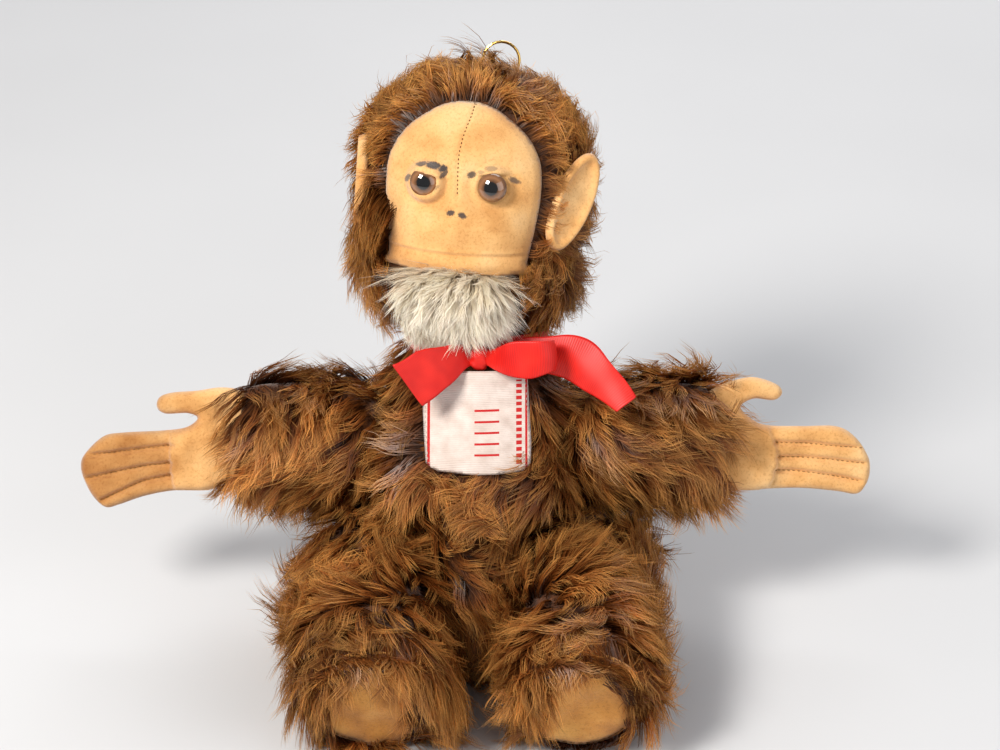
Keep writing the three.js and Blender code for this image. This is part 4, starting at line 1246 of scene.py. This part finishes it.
def face_material():
    """Felt with brow strokes, specks and nostrils inked on it by their place in the face's UV."""
    nodes, base = felt_ground("face_felt", (0.66, 0.32, 0.1), (0.82, 0.455, 0.17), (0.9, 0.57, 0.26),
                              (0.74, 0.62, 0.5), 0.7)
    uv = nodes.uv()
    fray = nodes.noise(1300, 3, rough=0.8)
    # the marks: x, v, half length, half width in mm, slope, strength
    marks = [
        (-21.3, 168.3, 2.3, 1.15, 0.88, 0.85), (-15.6, 174.7, 2.7, 0.85, 0.2, 0.9),
        (-10.6, 174.6, 3.4, 1.25, -0.16, 1.0), (-6.6, 173.5, 1.8, 1.45, 0.04, 1.0),
        (-6.0, 171.5, 2.1, 1.05, 1.03, 0.9), (5.0, 171.9, 1.9, 1.4, 0.46, 0.9),
        (8.9, 173.4, 1.8, 0.7, 0.04, 0.4), (12.6, 175.0, 2.5, 1.0, 0.04, 0.5),
        (22.0, 170.5, 2.6, 1.2, -0.37, 0.8), (-1.9, 156.2, 1.7, 1.25, 0.25, 0.95),
        (2.8, 155.5, 1.9, 1.25, -0.33, 0.95), (-8.6, 165.9, 1.9, 0.7, 0.7, 0.45),
    ]
    inks = []
    for x, v, long, wide, slope, strength in marks:
        place = ((x - FACE_UV_LOW[0]) / FACE_UV_SIZE, (v - FACE_UV_LOW[1]) / FACE_UV_SIZE, 0)
        local = nodes.add("Mapping", {"Vector": uv, "Location": place, "Rotation": (0, 0, slope),
                                      "Scale": (long / FACE_UV_SIZE, wide / FACE_UV_SIZE, 1)},
                          vector_type="TEXTURE").outputs["Vector"]
        far = nodes.add("VectorMath", {0: local}, operation="LENGTH").outputs["Value"]
        far = nodes.math("ADD", far, nodes.math("MULTIPLY", nodes.math("SUBTRACT", fray, 0.5), 1.5))
        soft = nodes.add("MapRange", {"Value": far, "From Min": 0.72, "From Max": 1.15, "To Min": strength,
                                      "To Max": 0.0}).outputs["Result"]
        inks.append(soft)
    nodes.color(nodes.mix(nodes.math("MULTIPLY", nodes.most(inks), 0.93), base, (0.02, 0.028, 0.042)))
    return nodes.material


def plane_uv(thing, flat_of):
    """Lays a mesh's OFBake layer out by a function of its points in metres."""
    lay_uv(thing.data, clamp(flat_of(coords(thing.data))))


plane_uv(face, lambda p: (unhead(p)[:, [0, 2]] - FACE_UV_LOW) / FACE_UV_SIZE)
finish_piece(face, "head", ["face_mask"], face_material())

seam_path = head(np.stack([seam_line[:, 0], face_front(seam_line, np.full(len(seam_line), 9.0)) + 0.15,
                           seam_line[:, 1]], 1))
tubes("face_seam", dashes(seam_path, 0.0017, 0.5, 0.0004, FRONT), 0.00024, "head", DARK_THREAD)

# ---------------------------------------------------------------- eyes


def eye_materials():
    """Amber glass at the rim, a dark iris and a black pupil, by the distance from the eye's middle."""
    nodes = Nodes("amber_eye", 0.05, specular=0.6, Coat_Weight=1.0, Coat_Roughness=0.02)
    uv = nodes.uv()
    centred = nodes.add("VectorMath", {0: uv, 1: (0.5, 0.5, 0)}, operation="DISTANCE").outputs["Value"]
    streak = nodes.math("MULTIPLY", nodes.math("SUBTRACT", nodes.noise(700, 3), 0.5), 0.03)
    nodes.color(nodes.ramp(nodes.math("ADD", centred, streak), (0.0, (0.002,) * 3), (0.2, (0.003,) * 3),
                           (0.225, (0.09, 0.036, 0.012)), (0.34, (0.3, 0.13, 0.05)),
                           (0.47, (0.11, 0.045, 0.018))))
    return nodes.material


EYE_GLASS = eye_materials()
for side_name, side in SIDES:
    ways, faces = ball(5)
    squashed = ways * EYE_RADII + [side * EYE_X, EYE_D, EYE_V]
    eye = face_out(build(f"{side_name}_glass_eye", head(squashed), faces))
    middle = np.array([side * EYE_X, EYE_V])
    plane_uv(eye, lambda p, middle=middle: (unhead(p)[:, [0, 2]] - middle) / 13 + 0.5)
    finish_piece(eye, "head", [f"{side_name}_eye"], EYE_GLASS)

# ---------------------------------------------------------------- beard


def beard_form(p):
    made = ellipsoid(p, [0, -35, 122.5], [24, 9, 15.5])
    return np.maximum(made, p[:, 2] - 131.5)


beard = stuff(blob("beard_skin", beard_form, [0, -35, 121], 40, head))
finish_piece(beard, "head", ["chin_beard"], WHITE_PILE)


def beard_comb(p, n):
    q = unhead(p)
    fan = np.stack([q[:, 0] * -0.012, np.zeros(len(q)), np.zeros(len(q))], 1)
    return DOWN_TORSO * 1.3 + fan + FRONT * 0.1


def beard_weight(p, n):
    """The front of the beard, and little at its sides."""
    side = np.clip((23 - np.abs(unhead(p)[:, 0])) / 5, 0.05, 1)
    return np.where(n @ FRONT > -0.15, 1, 0) * side


hair("beard_hair", beard, "head", count=10500, length=0.018, seed=51, comb=beard_comb,
     weight=beard_weight, material=BEARD_HAIR, gravity=0.9, curl=0.0012,
     lift=(0.3, 0.0), width=0.00034, spread=0.0022, clump=0.88, swirl=0.3, bend=0.9)

# ---------------------------------------------------------------- ribbon and label


def strip(name, upper, lower, node, across, cup, seed):
    """A ribbon between its two edges, which are lines of x, d and v, with its own OFBake layout."""
    top, bottom = smooth(upper, 0.8, False), smooth(lower, 0.8, False)
    steps = max(len(top), len(bottom))
    share = np.linspace(0, 1, steps)
    top, bottom = (at(share, np.linspace(0, 1, len(line)), line) for line in (top, bottom))
    w = np.linspace(0, 1, across)[None, :, None]
    grid = top[:, None] * w + bottom[:, None] * (1 - w)
    along = unit(np.gradient(grid, axis=0))
    normal = unit(np.cross(along, unit(np.gradient(grid, axis=1))))
    lift = cup * (4 * w * (1 - w) - 0.5)
    grid = grid + normal * lift + ripple(seed, 19)(grid.reshape(-1, 3)).reshape(grid.shape) * 0.45
    index = np.arange(steps * across).reshape(steps, across)
    quads = np.stack([index[:-1, :-1], index[1:, :-1], index[1:, 1:], index[:-1, 1:]], 2).reshape(-1, 4)
    made = build(name, torso(grid.reshape(-1, 3)), quads)
    length = np.linalg.norm(np.diff(grid.mean(1), axis=0), axis=1).sum()
    width = np.linalg.norm(np.diff(grid, axis=1), axis=2).sum(1)
    lay_uv(made.data, np.stack([np.repeat(share, across), np.tile(np.linspace(0, 1, across), steps)], 1))
    modify(made, "SUBSURF", levels=1)
    modify(made, "SOLIDIFY", thickness=0.0004, offset=0)
    finish_piece(made, "torso", [node], SATIN)
    return made, length * MM, width.mean() * MM


turn = np.linspace(0.06, 2 * math.pi - 0.06, 60)
band = np.stack([29.8 * np.sin(turn), -29.8 * (DEPTH + 0.02) * np.cos(turn), np.full(60, 103.4)], 1)
# each strip's name, node, upper edge, lower edge, cup, points across, how it is held and what it rests on
RIBBONS = (
    ("ribbon_tail_right", "bow_tail_right",
     [(-2, -33, 99), (-8, -38, 102), (-21, -47, 102), (-34.4, -52, 96.5)],
     [(-2, -33.5, 93), (-6, -40, 90), (-12.6, -47, 85), (-21.8, -53, 79.2)],
     0.5, 10, "draped", ["body_cover"]),
    ("ribbon_loop_left", "bow_loop_left",
     [(3, -35, 99), (12, -44, 103), (22, -47.5, 105), (29, -46.5, 105.2), (31.7, -42, 104.4),
      (28, -37.5, 103.4), (16, -34, 101.5), (4, -31.5, 99)],
     [(3.4, -36, 94), (13, -45, 90.2), (22, -48.5, 90.2), (29, -47.4, 92), (31.7, -42.6, 92.6),
      (28, -37.5, 92.6), (16, -34, 93), (4, -31.5, 94)],
     0.8, 10, "folded", ["bow_knot"]),
    ("ribbon_tail_left", "bow_tail_left",
     [(5, -29, 99.5), (17, -29.5, 103), (30, -32, 105), (41, -35, 105), (49.5, -37, 100.5), (58.5, -40, 90.5),
      (64.5, -43.5, 82)],
     [(5, -29, 93.5), (17, -30, 91.6), (30, -33, 89.2), (39, -36.3, 85.6), (46, -39, 81.8), (52, -41.7, 78.2),
      (57.2, -44.5, 75.5)],
     1.0, 10, "draped", ["left_sleeve", "body_cover"]),
    ("ribbon_round_neck", "neck_ribbon", band, band - [0, 0, 10.8], -0.3, 7, "stretched", ["body_cover"]),
)
for seed, (name, node, upper, lower, cup, across, held, rests_on) in enumerate(RIBBONS, 81):
    made, length, width = strip(name, upper, lower, node, across, cup, seed)

ways, faces = ball(5)
pleats = np.abs(ways[:, :1]) * np.cos(ways[:, 2:] * 9 + ways[:, :1] * 4) * 0.07
rounded = np.sign(ways) * np.abs(ways) ** 0.8 * (1 + pleats)
knot = face_out(build("ribbon_knot", torso(rounded * [4.2, 4.6, 5.4] + [1, -33, 96]), faces))
plane_uv(knot, lambda p: np.stack([p[:, 2] * 25 - 2.9, p[:, 0] * 60 + 0.5], 1))
finish_piece(knot, "torso", ["bow_knot"], SATIN)

# the label lies on the fur, its top under the bow
label_loop = [(-21, 91), (-22.4, 80), (-21.7, 66), (-20.8, 54.6), (-18.6, 52.6), (-16, 51.4), (0, 50.2),
              (15, 50.9), (19, 51.6), (22, 54), (22.3, 62), (21.4, 78), (20.6, 91)]
corners = [np.array(p, float) for p in label_loop]
label_loop = np.concatenate([np.linspace(a, b, max(2, round(np.linalg.norm(b - a))), endpoint=False)
                             for a, b in zip(corners, corners[1:] + corners[:1])])


LABEL_BEND = 76  # above this height it leans back under the bow


def label_lie(flat):
    """How far back the label's middle lies at points of x and v."""
    held = np.minimum(flat, [np.inf, LABEL_BEND])
    lie = front_of(torso_form(-4.5), held, 90)
    lie = lie + 0.12 * np.maximum(flat[:, 1] - LABEL_BEND, 0) + np.abs(flat[:, 0] / 22) ** 4 * 0.9
    return lie + waver(ripple(86, 30), flat) * 0.5


label_piece = two_sided("woven_label", label_loop, 1.2, lambda f, r: label_lie(f) - 0.25,
                        lambda f, r: label_lie(f) + 0.25, torso)
plane_uv(label_piece, lambda p: (untorso(p)[:, [0, 2]] + [23, -49.5]) / [46, 42])
finish_piece(label_piece, "torso", ["chest_label"], LABEL)
edge = label_loop * [0.955, 1] + [0, 0.6]
edge = edge[edge[:, 1] < 88]
sewn = torso(np.stack([edge[:, 0], label_lie(edge) - 0.32, edge[:, 1]], 1))
tubes("label_stitches", dashes(sewn, 0.0022, 0.5, 0.00015, FRONT), 0.00014, "torso", LABEL_THREAD)

# ---------------------------------------------------------------- floor, light and camera


FLOOR_HALF = 6.0
floor = build("floor", np.array([[-1, -1, 0], [1, -1, 0], [1, 1, 0], [-1, 1, 0]]) * FLOOR_HALF,
              [[0, 1, 2, 3]])
floor.data.materials.append(patchy_material("floor", 3, 3, (0.62, 0.62, 0.63), (0.66, 0.66, 0.67)))


def area_light(name, place, size, power, color):
    light = bpy.data.lights.new(name, "AREA")
    light.size, light.energy, light.color = size, power, color
    lamp = bpy.data.objects.new(name, light)
    lamp.location = place
    lamp.rotation_euler = (Vector((0, 0, 0.1)) - Vector(place)).to_track_quat("-Z", "Y").to_euler()
    scene.collection.objects.link(lamp)


area_light("key", (-0.75, -0.75, 1.15), 0.45, 25, (1.0, 0.97, 0.92))
area_light("fill", (0.95, -0.9, 0.7), 1.2, 7, (0.95, 0.97, 1.0))
area_light("rim", (0.3, 0.95, 1.05), 0.9, 9, (1, 1, 1))

world = bpy.data.worlds.new("studio")
world.use_nodes = True
world.node_tree.nodes["Background"].inputs["Color"].default_value = (0.82, 0.84, 0.88, 1)
world.node_tree.nodes["Background"].inputs["Strength"].default_value = 0.33
scene.world = world
scene.view_settings.view_transform = "Standard"

CAMERA_RISE = math.radians(30)
CAMERA_FAR = 1.375
CAMERA_AIM = Vector((0.0095, 0.008, 0.1206))
lens = bpy.data.cameras.new("camera")
lens.lens, lens.sensor_width = 120, 36
camera = bpy.data.objects.new("camera", lens)
away = Vector((0, -math.cos(CAMERA_RISE), math.sin(CAMERA_RISE)))
camera.location = CAMERA_AIM + away * CAMERA_FAR
camera.rotation_euler = (-away).to_track_quat("-Z", "Y").to_euler()
scene.collection.objects.link(camera)
scene.camera = camera

# ---------------------------------------------------------------- carried nodes

CARRIED = {
    "steel": STEEL, "brass": BRASS, "tin": TIN, "fibreboard": BOARD, "tape": TAPE,
    "felt": FELT, "eye_glass": EYE_GLASS, "satin": SATIN, "label_weave": LABEL, "white_mohair": WHITE_PILE,
    "mohair": PILE, "stuffing": TAPE,
}
for part in frame["record"]["subparts"]:
    node = frame["nodes"][part["node"]]
    for material_slot in node.material_slots:
        material_slot.material = CARRIED[part["material_slot"]]
